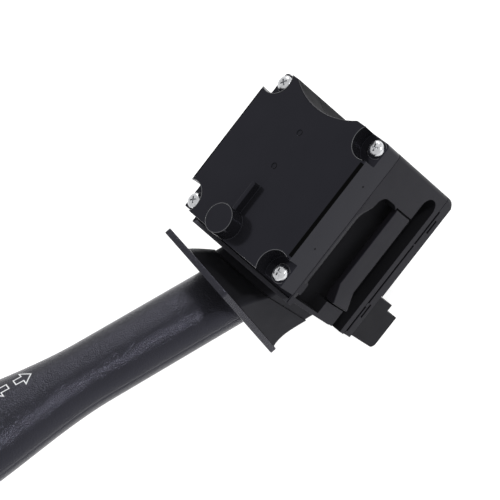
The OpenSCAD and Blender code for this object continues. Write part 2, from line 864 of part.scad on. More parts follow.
module beam_track() {
    z0 = pin_z - beam_track_h / 2;
    color([0.9, 0.9, 0.88]) difference() {
        block([beam_face_x - 1.8, pivot_y - beam_half, z0], [yoke_rear - yoke_web, pivot_y + beam_half, z0 + beam_track_h]);
        translate([pivot_x, pivot_y + beam_half + 1, pin_z]) rotate([90, 0, 0]) cylinder(r = beam_reach, h = 2 * beam_half + 2, $fn = 160);
        for (i = [0, 1])
            translate([pivot_x, pivot_y + beam_half + 1, pin_z]) rotate([0, -i * beam_step, 0])
                translate([beam_reach - beam_bore + notch_depth, 0, 0]) rotate([90, 0, 0])
                    cylinder(r = beam_bore, h = 2 * beam_half + 2);
    }
}

// Neck section in a plane across X, on the lever's axis
function neck_ring(x, trim) = place(
    rrect(neck_w / 2 - trim, neck_h / 2 - trim, neck_corner, neck_hood, ring_n),
    lever_at_x(x) + [0, neck_side, neck_shift], 0, 0
);

module lever_root() {
    color([0.16, 0.16, 0.17]) {
        difference() {
            union() {
                block([root_front, pivot_y - root_half, pin_z - root_half_h],
                    [root_rear, pivot_y + root_half, pin_z + root_half_h]);
                translate([beam_peg_x, pivot_y - root_half + 1, pin_z]) rotate([90, 0, 0])
                    cylinder(r = beam_peg_r, h = yoke_t + gap + 1 + beam_slider_t);
                skin([neck_ring(neck_out_x, 0), neck_ring(front_x - 0.2, 0), neck_ring(neck_back_x, neck_trim)]);
            }
            translate([pivot_x, pivot_y + big / 2, pin_z]) rotate([90, 0, 0]) cylinder(r = tilt_pin_r + fit, h = big);
            translate([beam_bore_x, pivot_y, pin_z]) rotate([0, 90, 0]) cylinder(r = beam_bore + fit, h = big);
            lever_frame() translate([core_start, 0, 0]) rotate([0, 90, 0]) cylinder(r = core_r, h = big);
        }
    }
}

module beam_plunger() {
    color([0.9, 0.9, 0.88]) translate([beam_tip_x - beam_plunger_l, pivot_y, pin_z]) rotate([0, 90, 0]) {
        cylinder(r = beam_bore, h = beam_plunger_l - beam_bore);
        translate([0, 0, beam_plunger_l - beam_bore]) sphere(r = beam_bore);
    }
}

module beam_spring() {
    color([0.7, 0.7, 0.72]) translate([beam_bore_x, pivot_y, pin_z]) coil(1.4, 0.25, beam_spring_l, 4);
}

// Rings of the trumpet, from the neck to just inside the rim plate. Its near and lower
// sides stay straight and flare at the end; its far and upper sides swell at once.
function trumpet_ring(t) =
    let (
        late = pow(t, 3.5),
        early = 1 - pow(1 - t, 1.5),
        w = neck_w / 2 + trumpet_lap,
        h = neck_h / 2 + trumpet_lap,
        near = lerp(w - neck_side, plate_w / 2 - trumpet_edge, late),
        far = lerp(w + neck_side, plate_w / 2 - trumpet_edge, early),
        upper = lerp(h + neck_shift, plate_h / 2 - trumpet_top, early),
        lower = lerp(h - neck_shift, plate_h / 2 - trumpet_edge, late),
        pts = rrect(
            (near + far) / 2, (upper + lower) / 2, neck_corner,
            lerp(neck_hood, trumpet_hood, t), ring_n
        )
    )
    place(
        [for (p = pts) p + [(near - far) / 2, (upper - lower) / 2]],
        lerp(lever_at_x(neck_out_x), plate_pos + plate_dir() / 2, t),
        plate_yaw * t, plate_pitch * t
    );

module rim_plate() {
    color([0.18, 0.18, 0.19]) difference() {
        union() {
            skin([for (k = [trumpet_steps:-1:0]) trumpet_ring(k / trumpet_steps)]);
            plate_frame() linear_extrude(plate_t) rounded(plate_w, plate_h, plate_corner);
        }
        lever_frame() rotate([0, 90, 0]) cylinder(r = core_r, h = big);
    }
}

module rounded(w, h, r) {
    square([w - 2 * r, h], center = true);
    square([w, h - 2 * r], center = true);
    for (x = [-1, 1], y = [-1, 1]) translate([x * (w / 2 - r), y * (h / 2 - r)]) circle(r);
}

// Frame of the rim plate: Z outwards along the lever, X to the near side, Y up
module plate_frame() {
    translate(plate_pos) rotate([0, 0, -plate_yaw]) rotate([0, plate_pitch, 0]) rotate([90, 0, -90]) children();
}

// Frame of the lever: X outwards, Y to the near side, Z to the driver
module lever_frame() {
    translate(pin_pos) rotate([0, 0, 180 - lever_yaw]) rotate([0, -lever_pitch, 0]) children();
}

function flare(s) = ease(clamp01((s - flare_from) / flare_len));
// Slant of the lever's inner end, which follows the rim plate and fades out
function slant(s) = max(0, 1 - (s - shell_start) / slant_len);
// One point of the lever's section, s beyond the rim plate, at angle t
function lever_edge(s, t, inset) =
    let (
        a = lerp(stem_a, flare_a, flare(s)) - inset,
        b = lerp(stem_b, flare_b, flare(s)) - inset,
        y = sign(cos(t)) * a * pow(abs(cos(t)), 2 / oval_power),
        z = sign(sin(t)) * b * pow(abs(sin(t)), 2 / oval_power)
    )
    [plate_at + s + (z * up_slant + y * side_slant) * slant(s), y, z];
function lever_ring(s, inset) = [for (i = [0:ring_n - 1]) lever_edge(s, 360 * i / ring_n, inset)];
function lever_stations(s0, s1) = concat([s0], [for (s = lever_stops) if (s > s0 + 1 && s < s1 - 1) s], [s1]);

// Half of a hollow oval sleeve: outer points from 0 to 180 degrees, then the inner ones back
function half_ring(s, inset, side) = concat(
    [for (i = [0:half_n]) lever_edge(s, side * 180 * i / half_n, inset)],
    [for (i = [half_n:-1:0]) lever_edge(s, side * 180 * i / half_n, inset + shell_t)]
);

// Skin through half rings, with its two ends closed across the wall
module half_sleeve(rings) {
    n = len(rings[0]);
    m = len(rings);
    last = (m - 1) * n;
    sides = [
        for (j = [0:m - 2]) for (i = [0:n - 1])
            let (k = (i + 1) % n)
                each [
                    [j * n + i, j * n + k, (j + 1) * n + k],
                    [j * n + i, (j + 1) * n + k, (j + 1) * n + i]
                ]
    ];
    ends = [
        for (i = [0:n / 2 - 2])
            each [
                [n - 1 - i, n - 2 - i, i + 1], [n - 1 - i, i + 1, i],
                [last + i, last + i + 1, last + n - 2 - i], [last + i, last + n - 2 - i, last + n - 1 - i]
            ]
    ];
    polyhedron(flat(rings), concat(sides, ends), convexity = 8);
}

module lever_shell(side) {
    stations = lever_stations(shell_start, shell_end);
    rings = [for (s = stations) half_ring(s, 0, side)];
    lever_frame() {
        if (side > 0) half_sleeve(rings);
        else half_sleeve([for (i = [len(rings) - 1:-1:0]) rings[i]]);
    }
}

module lever_shell_top() {
    color([0.22, 0.22, 0.24]) lever_shell(1);
}

module lever_shell_bottom() {
    color([0.22, 0.22, 0.24]) lever_shell(-1);
}

module lever_end_cap() {
    dome = [
        for (k = [0:cap_steps])
            let (t = k / cap_steps, shrink = 1 - sqrt(1 - t * t * cap_roundness))
                lever_ring(shell_end + cap_l * t, cap_shrink * shrink)
    ];
    plug = [for (s = [shell_end - cap_plug, shell_end]) lever_ring(s, shell_t + seam)];
    color([0.2, 0.2, 0.22]) lever_frame() skin(concat(plug, dome));
}

// Tube with three oval formers that carry the lever's shells
module lever_core() {
    length = plate_at + shell_end - cap_plug - rest_gap - core_start;
    color([0.6, 0.6, 0.62]) lever_frame() difference() {
        union() {
            translate([core_start, 0, 0]) rotate([0, 90, 0]) cylinder(r = core_r, h = length);
            for (s = former_at)
                translate([plate_at + s, 0, 0]) rotate([90, 0, 90]) linear_extrude(former_t)
                    polygon([for (p = lever_ring(s, shell_t)) [p[1], p[2]]]);
        }
        translate([core_start + core_plug, 0, 0]) rotate([0, 90, 0]) cylinder(r = core_r - core_wall, h = big);
    }
}

module cancel_finger() {
    x0 = finger_rear_x - finger_l;
    color([0.9, 0.9, 0.88]) difference() {
        union() {
            block([x0, column_y - finger_w / 2, finger_z], [finger_rear_x - finger_w / 2, column_y + finger_w / 2, finger_z + finger_h]);
            translate([finger_rear_x - finger_w / 2, column_y, finger_z]) cylinder(d = finger_w, h = finger_h);
        }
        translate([x0 - 1, column_y, finger_z + finger_h / 2]) rotate([0, 90, 0]) cylinder(r = finger_bore, h = 7);
    }
}

module cancel_spring() {
    start = bulkhead_x + bulkhead_t;
    length = finger_rear_x - finger_l + 6 - 3 - start;
    color([0.7, 0.7, 0.72]) translate([start, column_y, finger_z + finger_h / 2]) coil(0.95, 0.2, length, 6);
}

module beam_slider() {
    y1 = pivot_y - yoke_out - 0.05;
    color([0.85, 0.84, 0.8]) difference() {
        block([beam_peg_x - beam_slider_w / 2, y1 - beam_slider_t, pin_z - beam_slider_h / 2],
            [beam_peg_x + beam_slider_w / 2, y1, pin_z + beam_slider_h / 2]);
        block([beam_peg_x - beam_peg_r - 0.4, y1 - 5, pin_z - beam_peg_r - fit], [beam_peg_x + beam_peg_r + 0.4, y1 + 1, pin_z + beam_peg_r + fit]);
    }
}

module beam_bridges() {
    y1 = pivot_y - yoke_out - 0.05 - beam_slider_t;
    color([0.85, 0.6, 0.3])
        for (s = [-1, 1])
            translate([beam_peg_x, y1, pin_z + s * 3.4]) block([-1.8, -contact_t, -1], [1.8, 0, 1]);
}

housing();
cover();
base_plate();
connector_shroud();
terminal_pins();
cover_screws();
contact_board();
fixed_contacts();
detent_track();
latch_arm_near();
latch_arm_far();
turn_carrier();
tilt_pin();
turn_plunger();
turn_spring();
beam_track();
lever_root();
rim_plate();
lever_core();
lever_shell_top();
lever_shell_bottom();
lever_end_cap();
beam_plunger();
beam_spring();
cancel_finger();
cancel_spring();
contact_slider();
slider_bridges();
beam_slider();
beam_bridges();
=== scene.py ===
"""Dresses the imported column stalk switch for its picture.

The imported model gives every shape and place. This script rounds the moulded edges,
gives each surface its finish, builds the lever and the screws in fine meshes, prints
the two arrows and sets up the studio. All lengths are in metres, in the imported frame.
"""

import logging
import math
from dataclasses import dataclass
from enum import Enum

import bmesh
import bpy
from mathutils import Matrix, Vector


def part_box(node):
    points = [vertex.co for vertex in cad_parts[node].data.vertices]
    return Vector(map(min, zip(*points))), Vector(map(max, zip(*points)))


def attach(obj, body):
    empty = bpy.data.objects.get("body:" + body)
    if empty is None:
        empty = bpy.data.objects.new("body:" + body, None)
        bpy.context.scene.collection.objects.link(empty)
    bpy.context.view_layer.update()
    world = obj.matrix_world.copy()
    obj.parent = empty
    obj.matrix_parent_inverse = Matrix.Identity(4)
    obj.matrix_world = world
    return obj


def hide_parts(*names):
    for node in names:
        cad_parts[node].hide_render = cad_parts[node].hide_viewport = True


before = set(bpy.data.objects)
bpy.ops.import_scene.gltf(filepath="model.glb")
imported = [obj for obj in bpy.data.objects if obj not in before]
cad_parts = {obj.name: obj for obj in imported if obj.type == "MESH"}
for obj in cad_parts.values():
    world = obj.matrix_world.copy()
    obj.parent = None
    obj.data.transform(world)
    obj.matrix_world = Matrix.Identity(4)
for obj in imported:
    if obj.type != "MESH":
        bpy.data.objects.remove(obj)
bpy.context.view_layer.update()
LOG = logging.getLogger("stalk_switch")

Flat = tuple[float, float]
Point = tuple[float, float, float]
Colour = tuple[float, float, float]

MM = 0.001
# What several pieces share: the tilt pin's middle, the steering column and the box's side walls.
PIN: Point = (-22.15 * MM, 1.3 * MM, 20.5 * MM)
COLUMN: Flat = (52.85 * MM, 0.6 * MM)
COLUMN_RADIUS = 28.0 * MM
HALF_WIDTH = 26.25 * MM
# Points of a mesh that lie closer than this are merged.
WELD = 0.0005 * MM


class Grain(Enum):
    """How a moulded surface was finished in its tool."""

    SATIN = "satin"
    SPARK = "spark"
    LAMINATE = "laminate"


class Arrow(Enum):
    """Which way a printed arrow points along the lever."""

    TO_BOX = -1
    TO_TIP = 1


class Side(Enum):
    """A long side of the box, with the sign of Y there."""

    NEAR = -1
    FAR = 1


class Zone(Enum):
    """A part of the box's surface, with the number of its material."""

    OUTSIDE = 0
    # Drawn duller, as painted shade.
    SUNK = 1
    # Drawn lighter, as painted light.
    LIP = 2


class Ends(Enum):
    """How a skin through rings finishes at its first and last ring."""

    CAPPED = "a flat face over each ring"
    WALLED = "faces across the wall of a C shaped ring"
    JOINED = "the last ring runs on into the first"


def ease(t: float) -> float:
    """Runs smoothly from 0 to 1 as t does, flat at both ends."""
    t = min(1.0, max(0.0, t))
    return t * t * (3 - 2 * t)


def lerp(a: float, b: float, t: float) -> float:
    """Goes straight from a to b as t goes from 0 to 1."""
    return a + (b - a) * t


def turns(count: int) -> list[float]:
    """Lists the angles, in radians, that divide a full turn into equal steps."""
    return [2 * math.pi * k / count for k in range(count)]


def heading(yaw: float, pitch: float) -> Vector:
    """Gives a direction out of the box's front.

    Args:
        yaw: Angle to the far side in degrees.
        pitch: Angle towards the driver in degrees.

    Returns:
        The direction, of length 1.
    """
    yaw, pitch = math.radians(yaw), math.radians(pitch)
    level = math.cos(pitch)
    return Vector((-level * math.cos(yaw), level * math.sin(yaw), math.sin(pitch)))


class Shader:
    """A material built up node by node round one Principled shader."""

    def __init__(self, name: str) -> None:
        """Starts an empty material.

        Args:
            name: The material's name.
        """
        self.material = bpy.data.materials.new(name)
        self.material.use_nodes = True
        self.tree = self.material.node_tree
        self.surface = next(n for n in self.tree.nodes if n.type == "BSDF_PRINCIPLED")
        self.place = self.tree.nodes.new("ShaderNodeTexCoord").outputs["Object"]
        self.normal: bpy.types.NodeSocket | None = None

    def fix(self, **values: float | Colour) -> None:
        """Sets the surface's own sockets to plain values.

        Args:
            values: Socket names with underscores for spaces, and their values.
        """
        for key, value in values.items():
            socket = self.surface.inputs[key.replace("_", " ")]
            socket.default_value = (*value, 1.0) if isinstance(value, tuple) else value

    def link(self, source: bpy.types.NodeSocket, target: bpy.types.NodeSocket) -> None:
        """Joins two sockets."""
        self.tree.links.new(source, target)

    def stretched(self, stretch: Point) -> bpy.types.NodeSocket:
        """Gives the object's coordinates, scaled along each axis.

        Args:
            stretch: Factor along X, Y and Z.

        Returns:
            The socket with the scaled coordinates.
        """
        if stretch == (1.0, 1.0, 1.0):
            return self.place
        node = self.tree.nodes.new("ShaderNodeMapping")
        node.inputs["Scale"].default_value = stretch
        self.link(self.place, node.inputs["Vector"])
        return node.outputs["Vector"]

    def noise(
        self, size: float, detail: float = 3.0, stretch: Point = (1.0, 1.0, 1.0)
    ) -> bpy.types.NodeSocket:
        """Adds a noise texture.

        Args:
            size: Size of its blotches in metres.
            detail: Number of finer layers on it.
            stretch: Factor along X, Y and Z.

        Returns:
            The socket with its value, about 0 to 1.
        """
        node = self.tree.nodes.new("ShaderNodeTexNoise")
        node.inputs["Scale"].default_value = 1 / size
        node.inputs["Detail"].default_value = detail
        self.link(self.stretched(stretch), node.inputs["Vector"])
        return node.outputs["Fac"]

    def cells(self, size: float) -> bpy.types.NodeSocket:
        """Adds round cells, as spark erosion leaves in a mould.

        Args:
            size: Size of one cell in metres.

        Returns:
            The socket with the distance from each cell's middle.
        """
        node = self.tree.nodes.new("ShaderNodeTexVoronoi")
        node.feature = "SMOOTH_F1"
        node.inputs["Scale"].default_value = 1 / size
        self.link(self.place, node.inputs["Vector"])
        return node.outputs["Distance"]

    def spread(
        self, value: bpy.types.NodeSocket, low: float, high: float, contrast: float = 0.3
    ) -> bpy.types.NodeSocket:
        """Maps a texture's middle range onto low to high.

        Args:
            value: The texture's socket.
            low: Result where the texture is dark.
            high: Result where it is light.
            contrast: How far the ends lie from the texture's middle.

        Returns:
            The mapped socket.
        """
        node = self.tree.nodes.new("ShaderNodeMapRange")
        for name, number in (
            ("From Min", 0.5 - contrast),
            ("From Max", 0.5 + contrast),
            ("To Min", low),
            ("To Max", high),
        ):
            node.inputs[name].default_value = number
        self.link(value, node.inputs["Value"])
        return node.outputs["Result"]

    def blend(
        self, factor: bpy.types.NodeSocket, first: Colour, second: Colour
    ) -> bpy.types.NodeSocket:
        """Mixes two colours.

        Args:
            factor: Socket that runs from the first colour at 0 to the second at 1.
            first: Colour at 0.
            second: Colour at 1.

        Returns:
            The socket with the mixed colour.
        """
        node = self.tree.nodes.new("ShaderNodeMix")
        node.data_type = "RGBA"
        node.inputs["A"].default_value = (*first, 1.0)
        node.inputs["B"].default_value = (*second, 1.0)
        self.link(factor, node.inputs["Factor"])
        return node.outputs["Result"]

    def emboss(self, height: bpy.types.NodeSocket, depth: float) -> None:
        """Adds a layer of relief to the surface.

        Args:
            height: Socket with the relief, 0 to 1.
            depth: Its depth in metres.
        """
        node = self.tree.nodes.new("ShaderNodeBump")
        node.inputs["Distance"].default_value = depth
        self.link(height, node.inputs["Height"])
        if self.normal is not None:
            self.link(self.normal, node.inputs["Normal"])
        self.normal = node.outputs["Normal"]
        self.link(self.normal, self.surface.inputs["Normal"])


@dataclass(frozen=True)
class Plastic:
    """A moulded plastic finish."""

    name: str
    colour: Colour
    roughness: float
    grain: Grain = Grain.SATIN
    grain_size: float = 0.25 * MM
    grain_depth: float = 0.004 * MM
    variation: float = 0.12
    ior: float = 1.48
    tint: Colour = (1.0, 1.0, 1.0)
    cloud_size: float = 14 * MM
    patch_size: float = 5 * MM
    patch_range: Flat = (0.9, 1.12)
    wave_size: float = 9 * MM
    wave_depth: float = 0.02 * MM
    cell_growth: float = 4.0
    cell_share: float = 0.25
    weave_stretch: Point = (1.0, 8.0, 1.0)

    def material(self) -> bpy.types.Material:
        """Builds the finish.

        Returns:
            The material.
        """
        shader = Shader(self.name)
        shader.fix(IOR=self.ior, Specular_Tint=self.tint)
        darker = tuple(c * (1 - self.variation) for c in self.colour)
        lighter = tuple(c * (1 + self.variation) for c in self.colour)
        cloud = shader.spread(shader.noise(self.cloud_size, detail=4.0), 0.0, 1.0)
        shader.link(shader.blend(cloud, darker, lighter), shader.surface.inputs["Base Color"])
        low, high = (self.roughness * share for share in self.patch_range)
        rough = shader.spread(shader.noise(self.patch_size, detail=5.0), low, high)
        shader.link(rough, shader.surface.inputs["Roughness"])
        self.add_grain(shader)
        return shader.material

    def add_grain(self, shader: Shader) -> None:
        """Adds the relief that the mould leaves.

        Args:
            shader: The material that is being built.
        """
        if self.grain is Grain.SPARK:
            cells = shader.cells(self.grain_size * self.cell_growth)
            shader.emboss(shader.noise(self.grain_size, detail=1.0), self.grain_depth)
            shader.emboss(cells, self.grain_depth * self.cell_share)
        elif self.grain is Grain.LAMINATE:
            weave = shader.noise(self.grain_size, detail=2.0, stretch=self.weave_stretch)
            shader.emboss(weave, self.grain_depth)
        else:
            shader.emboss(shader.noise(self.grain_size), self.grain_depth)
            shader.emboss(shader.noise(self.wave_size, detail=2.0), self.wave_depth)


@dataclass(frozen=True)
class Metal:
    """A bare or plated metal finish with fine tool marks."""

    name: str
    colour: Colour
    roughness: float
    mark_size: float = 0.2 * MM
    mark_depth: float = 0.004 * MM
    mark_stretch: Point = (1.0, 1.0, 6.0)
    mark_range: Flat = (0.8, 1.3)
    cloud_size: float = 1.2 * MM
    dullness: float = 0.82

    def material(self) -> bpy.types.Material:
        """Builds the finish.

        Returns:
            The material.
        """
        shader = Shader(self.name)
        shader.fix(Metallic=1.0)
        dull = tuple(c * self.dullness for c in self.colour)
        cloud = shader.spread(shader.noise(self.cloud_size, detail=4.0), 0.0, 1.0)
        shader.link(shader.blend(cloud, dull, self.colour), shader.surface.inputs["Base Color"])
        marks = shader.noise(self.mark_size, detail=4.0, stretch=self.mark_stretch)
        low, high = (self.roughness * share for share in self.mark_range)
        rough = shader.spread(marks, low, high)
        shader.link(rough, shader.surface.inputs["Roughness"])
        shader.emboss(marks, self.mark_depth)
        return shader.material


COOL = (0.76, 0.76, 1.0)
COVER_PLASTIC = Plastic(
    "cover_plastic",
    (0.0095, 0.0095, 0.0115),
    0.15,
    grain_depth=0.001 * MM,
    ior=1.29,
    tint=COOL,
)
BOX_PLASTIC = Plastic("box_plastic", (0.0082, 0.0078, 0.0095), 0.42, ior=1.26, tint=COOL)
TRUMPET_PLASTIC = Plastic(
    "trumpet_plastic",
    (0.0155, 0.0155, 0.0175),
    0.5,
    grain_depth=0.003 * MM,
    ior=1.24,
    tint=COOL,
)
LEVER_PLASTIC = Plastic(
    "lever_plastic",
    (0.0155, 0.0155, 0.018),
    0.16,
    grain=Grain.SPARK,
    grain_size=0.45 * MM,
    grain_depth=0.16 * MM,
    variation=0.08,
    ior=1.39,
    tint=COOL,
)
# Painted highlight: a lighter plastic for the thin beads that stand for the light lines along the
# cover's edges.
EDGE_SHINE = Plastic(
    "polished_edge", (0.065, 0.065, 0.072), 0.25, grain_depth=0.001 * MM, ior=1.5
)
# Painted shade: a duller, less reflective copy of the box plastic for the faces in the side
# channels, the slots and the column recess.
SUNK_SHADE = Plastic(
    "painted_sunk_shade", (0.01, 0.01, 0.011), 0.7, grain_depth=0.003 * MM, ior=1.15, tint=COOL
)
SHROUD_PLASTIC = Plastic("shroud_plastic", (0.006, 0.006, 0.007), 0.45, ior=1.2, tint=COOL)
# Painted light: a lighter copy of the box plastic for the top of the front lip.
LIP_LIGHT = Plastic("painted_lip_light", (0.05, 0.05, 0.056), 0.35, ior=1.4, tint=COOL)
SEAM_SHADE = Plastic(
    "seam_shade", (0.002, 0.002, 0.002), 0.8, grain_depth=0.001 * MM, ior=1.1
)
CORE_PLASTIC = Plastic("core_plastic", (0.05, 0.05, 0.055), 0.5)
SLIDING_PLASTIC = Plastic("sliding_plastic", (0.66, 0.65, 0.6), 0.38, variation=0.04)
BOARD = Plastic(
    "board_laminate",
    (0.21, 0.12, 0.055),
    0.45,
    grain=Grain.LAMINATE,
    grain_size=0.9 * MM,
    grain_depth=0.01 * MM,
)
ARROW_INK = Plastic(
    "arrow_ink", (0.78, 0.79, 0.8), 0.5, grain_size=0.15 * MM, variation=0.03
)
ZINC = Metal(
    "bright_zinc",
    (0.78, 0.79, 0.81),
    0.24,
    mark_stretch=(1.0, 1.0, 1.0),
    mark_size=0.7 * MM,
    mark_depth=0.05 * MM,
    cloud_size=0.8 * MM,
    dullness=0.6,
)
PIN_STEEL = Metal("pin_steel", (0.6, 0.6, 0.62), 0.3)
SPRING_STEEL = Metal("spring_steel", (0.45, 0.45, 0.47), 0.34)
CONTACT_BRASS = Metal("contact_brass", (0.75, 0.52, 0.24), 0.28)
TERMINAL_TIN = Metal("terminal_tin", (0.66, 0.66, 0.66), 0.32)


class Workshop:
    """Keeps the built finishes and hangs finished pieces on their bodies."""

    def __init__(self) -> None:
        """Starts with no finish built."""
        self.built: dict[str, bpy.types.Material] = {}

    def paint(self, obj: bpy.types.Object, finish: Plastic | Metal) -> None:
        """Gives a piece one finish.

        Args:
            obj: The piece.
            finish: The finish.
        """
        obj.data.materials.clear()
        obj.data.materials.append(self.finish(finish))

    def finish(self, finish: Plastic | Metal) -> bpy.types.Material:
        """Gives a finish's material, which is built at its first use."""
        if finish.name not in self.built:
            self.built[finish.name] = finish.material()
        return self.built[finish.name]

    def hang(
        self,
        obj: bpy.types.Object,
        body: str,
        finish: Plastic | Metal,
        nodes: tuple[str, ...] = (),
    ) -> None:
        """Finishes a piece of this script's own and lets it ride on its body.

        Args:
            obj: The piece, in place.
            body: The body that it moves with.
            finish: Its finish.
            nodes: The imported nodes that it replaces.
        """
        self.paint(obj, finish)
        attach(obj, body)
        if nodes:
            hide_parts(*nodes)
        LOG.info("%s: %d faces", obj.name, len(obj.data.polygons))

    def dress(self, names: tuple[str, ...], finish: Plastic | Metal) -> None:
        """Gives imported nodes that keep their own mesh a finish.

        Args:
            names: The nodes.
            finish: Their finish.
        """
        for name in names:
            self.paint(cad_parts[name], finish)
            LOG.info("%s: packed mesh", name)


def link_mesh(name: str, mesh: bpy.types.Mesh) -> bpy.types.Object:
    """Puts a mesh into the scene.

    Args:
        name: The piece's name.
        mesh: Its mesh.

    Returns:
        The new object.
    """
    obj = bpy.data.objects.new(name, mesh)
    bpy.context.scene.collection.objects.link(obj)
    return obj


def smooth(mesh: bpy.types.Mesh, angle: float) -> None:
    """Shades a mesh smooth, with creases where it turns by more than an angle.

    Args:
        mesh: The mesh.
        angle: The limit in degrees.
    """
    mesh.polygons.foreach_set("use_smooth", [True] * len(mesh.polygons))
    mesh.set_sharp_from_angle(angle=math.radians(angle))


def weld(mesh: bpy.types.Mesh) -> None:
    """Merges the points of a mesh that lie in one place.

    Args:
        mesh: The mesh.
    """
    shape = bmesh.new()
    shape.from_mesh(mesh)
    bmesh.ops.remove_doubles(shape, verts=shape.verts[:], dist=WELD)
    shape.to_mesh(mesh)
    shape.free()


def settle(obj: bpy.types.Object) -> None:
    """Applies a piece's modifiers to its mesh.

    Args:
        obj: The piece.
    """
    bpy.context.view_layer.update()
    graph = bpy.context.evaluated_depsgraph_get()
    mesh = bpy.data.meshes.new_from_object(obj.evaluated_get(graph))
    obj.modifiers.clear()
    obj.data = mesh


@dataclass(frozen=True)
class Moulding:
    """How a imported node's edges are rounded, as a mould does."""

    flat_angle: float = 0.5
    edge_angle: float = 40.0
    crease: float = 32.0
    segments: int = 2
    flat_weight: int = 100

    def copy(self, node: str, radius: float) -> bpy.types.Object:
        """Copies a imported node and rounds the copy's edges.

        Args:
            node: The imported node.
            radius: Radius of the rounding in metres.

        Returns:
            The new piece, in place, within the node's own box.
        """
        mesh = self.merged(node)
        low = [min(v.co[i] for v in mesh.vertices) for i in range(3)]
        high = [max(v.co[i] for v in mesh.vertices) for i in range(3)]
        obj = link_mesh(node + "_moulded", mesh)
        bevel = obj.modifiers.new("rounding", "BEVEL")
        bevel.width = radius
        bevel.segments = self.segments
        bevel.limit_method = "ANGLE"
        bevel.angle_limit = math.radians(self.edge_angle)
        bevel.use_clamp_overlap = False
        bevel.miter_outer = "MITER_ARC"
        settle(obj)
        for vertex in obj.data.vertices:
            vertex.co = [min(max(vertex.co[i], low[i]), high[i]) for i in range(3)]
        smooth(obj.data, self.crease)
        self.even_normals(obj)
        return obj

    def merged(self, node: str) -> bpy.types.Mesh:
        """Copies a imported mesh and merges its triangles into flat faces.

        Args:
            node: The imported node.

        Returns:
            The mesh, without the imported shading.
        """
        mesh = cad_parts[node].data.copy()
        shape = bmesh.new()
        shape.from_mesh(mesh)
        bmesh.ops.remove_doubles(shape, verts=shape.verts[:], dist=WELD)
        bmesh.ops.dissolve_limit(
            shape,
            angle_limit=math.radians(self.flat_angle),
            verts=shape.verts[:],
            edges=shape.edges[:],
        )
        shape.to_mesh(mesh)
        shape.free()
        for layer in [a for a in mesh.attributes if a.name == "custom_normal"]:
            mesh.attributes.remove(layer)
        return mesh

    def even_normals(self, obj: bpy.types.Object) -> None:
        """Lets the large flat faces of a rounded piece set its shading.

        Args:
            obj: The piece, with its creases marked.
        """
        weigh = obj.modifiers.new("flat_faces", "WEIGHTED_NORMAL")
        weigh.mode = "FACE_AREA"
        weigh.weight = self.flat_weight
        weigh.keep_sharp = True
        settle(obj)


def loft(
    name: str, rings: list[list[Vector]], ends: Ends = Ends.CAPPED
) -> bpy.types.Object:
    """Builds a skin through rings of points.

    Args:
        name: The piece's name.
        rings: The rings, each with the same number of points.
        ends: How the skin finishes at its first and last ring.

    Returns:
        The new piece.
    """
    shape = bmesh.new()
    rows = [[shape.verts.new(p) for p in ring] for ring in rings]
    count = len(rows[0])
    following = rows[1:] + rows[:1] if ends is Ends.JOINED else rows[1:]
    for lower, upper in zip(rows, following):
        for i in range(count):
            k = (i + 1) % count
            shape.faces.new((lower[i], lower[k], upper[k], upper[i]))
    if ends is Ends.CAPPED:
        shape.faces.new(rows[0][::-1])
        shape.faces.new(rows[-1])
    elif ends is Ends.WALLED:
        for row in (rows[0], rows[-1]):
            for i in range(count // 2 - 1):
                shape.faces.new((row[i], row[i + 1], row[-2 - i], row[-1 - i]))
    bmesh.ops.recalc_face_normals(shape, faces=shape.faces[:])
    mesh = bpy.data.meshes.new(name)
    shape.to_mesh(mesh)
    shape.free()
    return link_mesh(name, mesh)


def arc(middle: Point, radius: float, ends: Flat, steps: int = 64) -> list[Vector]:
    """Lists points on a level arc.

    Args:
        middle: Its centre.
        radius: Its radius.
        ends: Angles of its first and last point in degrees.
        steps: Number of steps.

    Returns:
        The points.
    """
    angles = (math.radians(lerp(*ends, i / steps)) for i in range(steps + 1))
    return [Vector(middle) + radius * Vector((math.cos(a), math.sin(a), 0.0)) for a in angles]


def circle(middle: Point, radius: float, count: int) -> list[Vector]:
    """Lists equally spaced points on a full level circle.

    Args:
        middle: Its centre.
        radius: Its radius.
        count: Number of points.

    Returns:
        The points.
    """
    return arc(middle, radius, (0.0, 360.0 * (count - 1) / count), count - 1)


@dataclass(frozen=True)
class Bead:
    """A thin round bead along a path."""

    name: str
    path: list[Vector]
    radius: float
    loop: bool = False
    sides: int = 10
    crease: float = 60.0

    def ring(self, i: int) -> list[Vector]:
        """Lists the bead's section at one point of its path.

        Args:
            i: Number of the point.

        Returns:
            The section's points.
        """
        here = self.path[i]
        last = len(self.path) - 1
        before = self.path[i - 1] if self.loop or i else here
        after = self.path[(i + 1) % (last + 1)] if self.loop or i < last else here
        side = (after - before).cross(Vector((0, 0, 1))).normalized()
        up = side.cross(after - before).normalized()
        return [
            here + self.radius * (math.cos(a) * side + math.sin(a) * up)
            for a in turns(self.sides)
        ]

    def build(self) -> bpy.types.Object:
        """Builds the bead, closed on itself or with flat ends.

        Returns:
            The bead.
        """
        rings = [self.ring(i) for i in range(len(self.path))]
        piece = loft(self.name, rings, Ends.JOINED if self.loop else Ends.CAPPED)
        if self.loop:
            # Where the path runs straight up, a section shrinks to one point.
            weld(piece.data)
        smooth(piece.data, self.crease)
        return piece


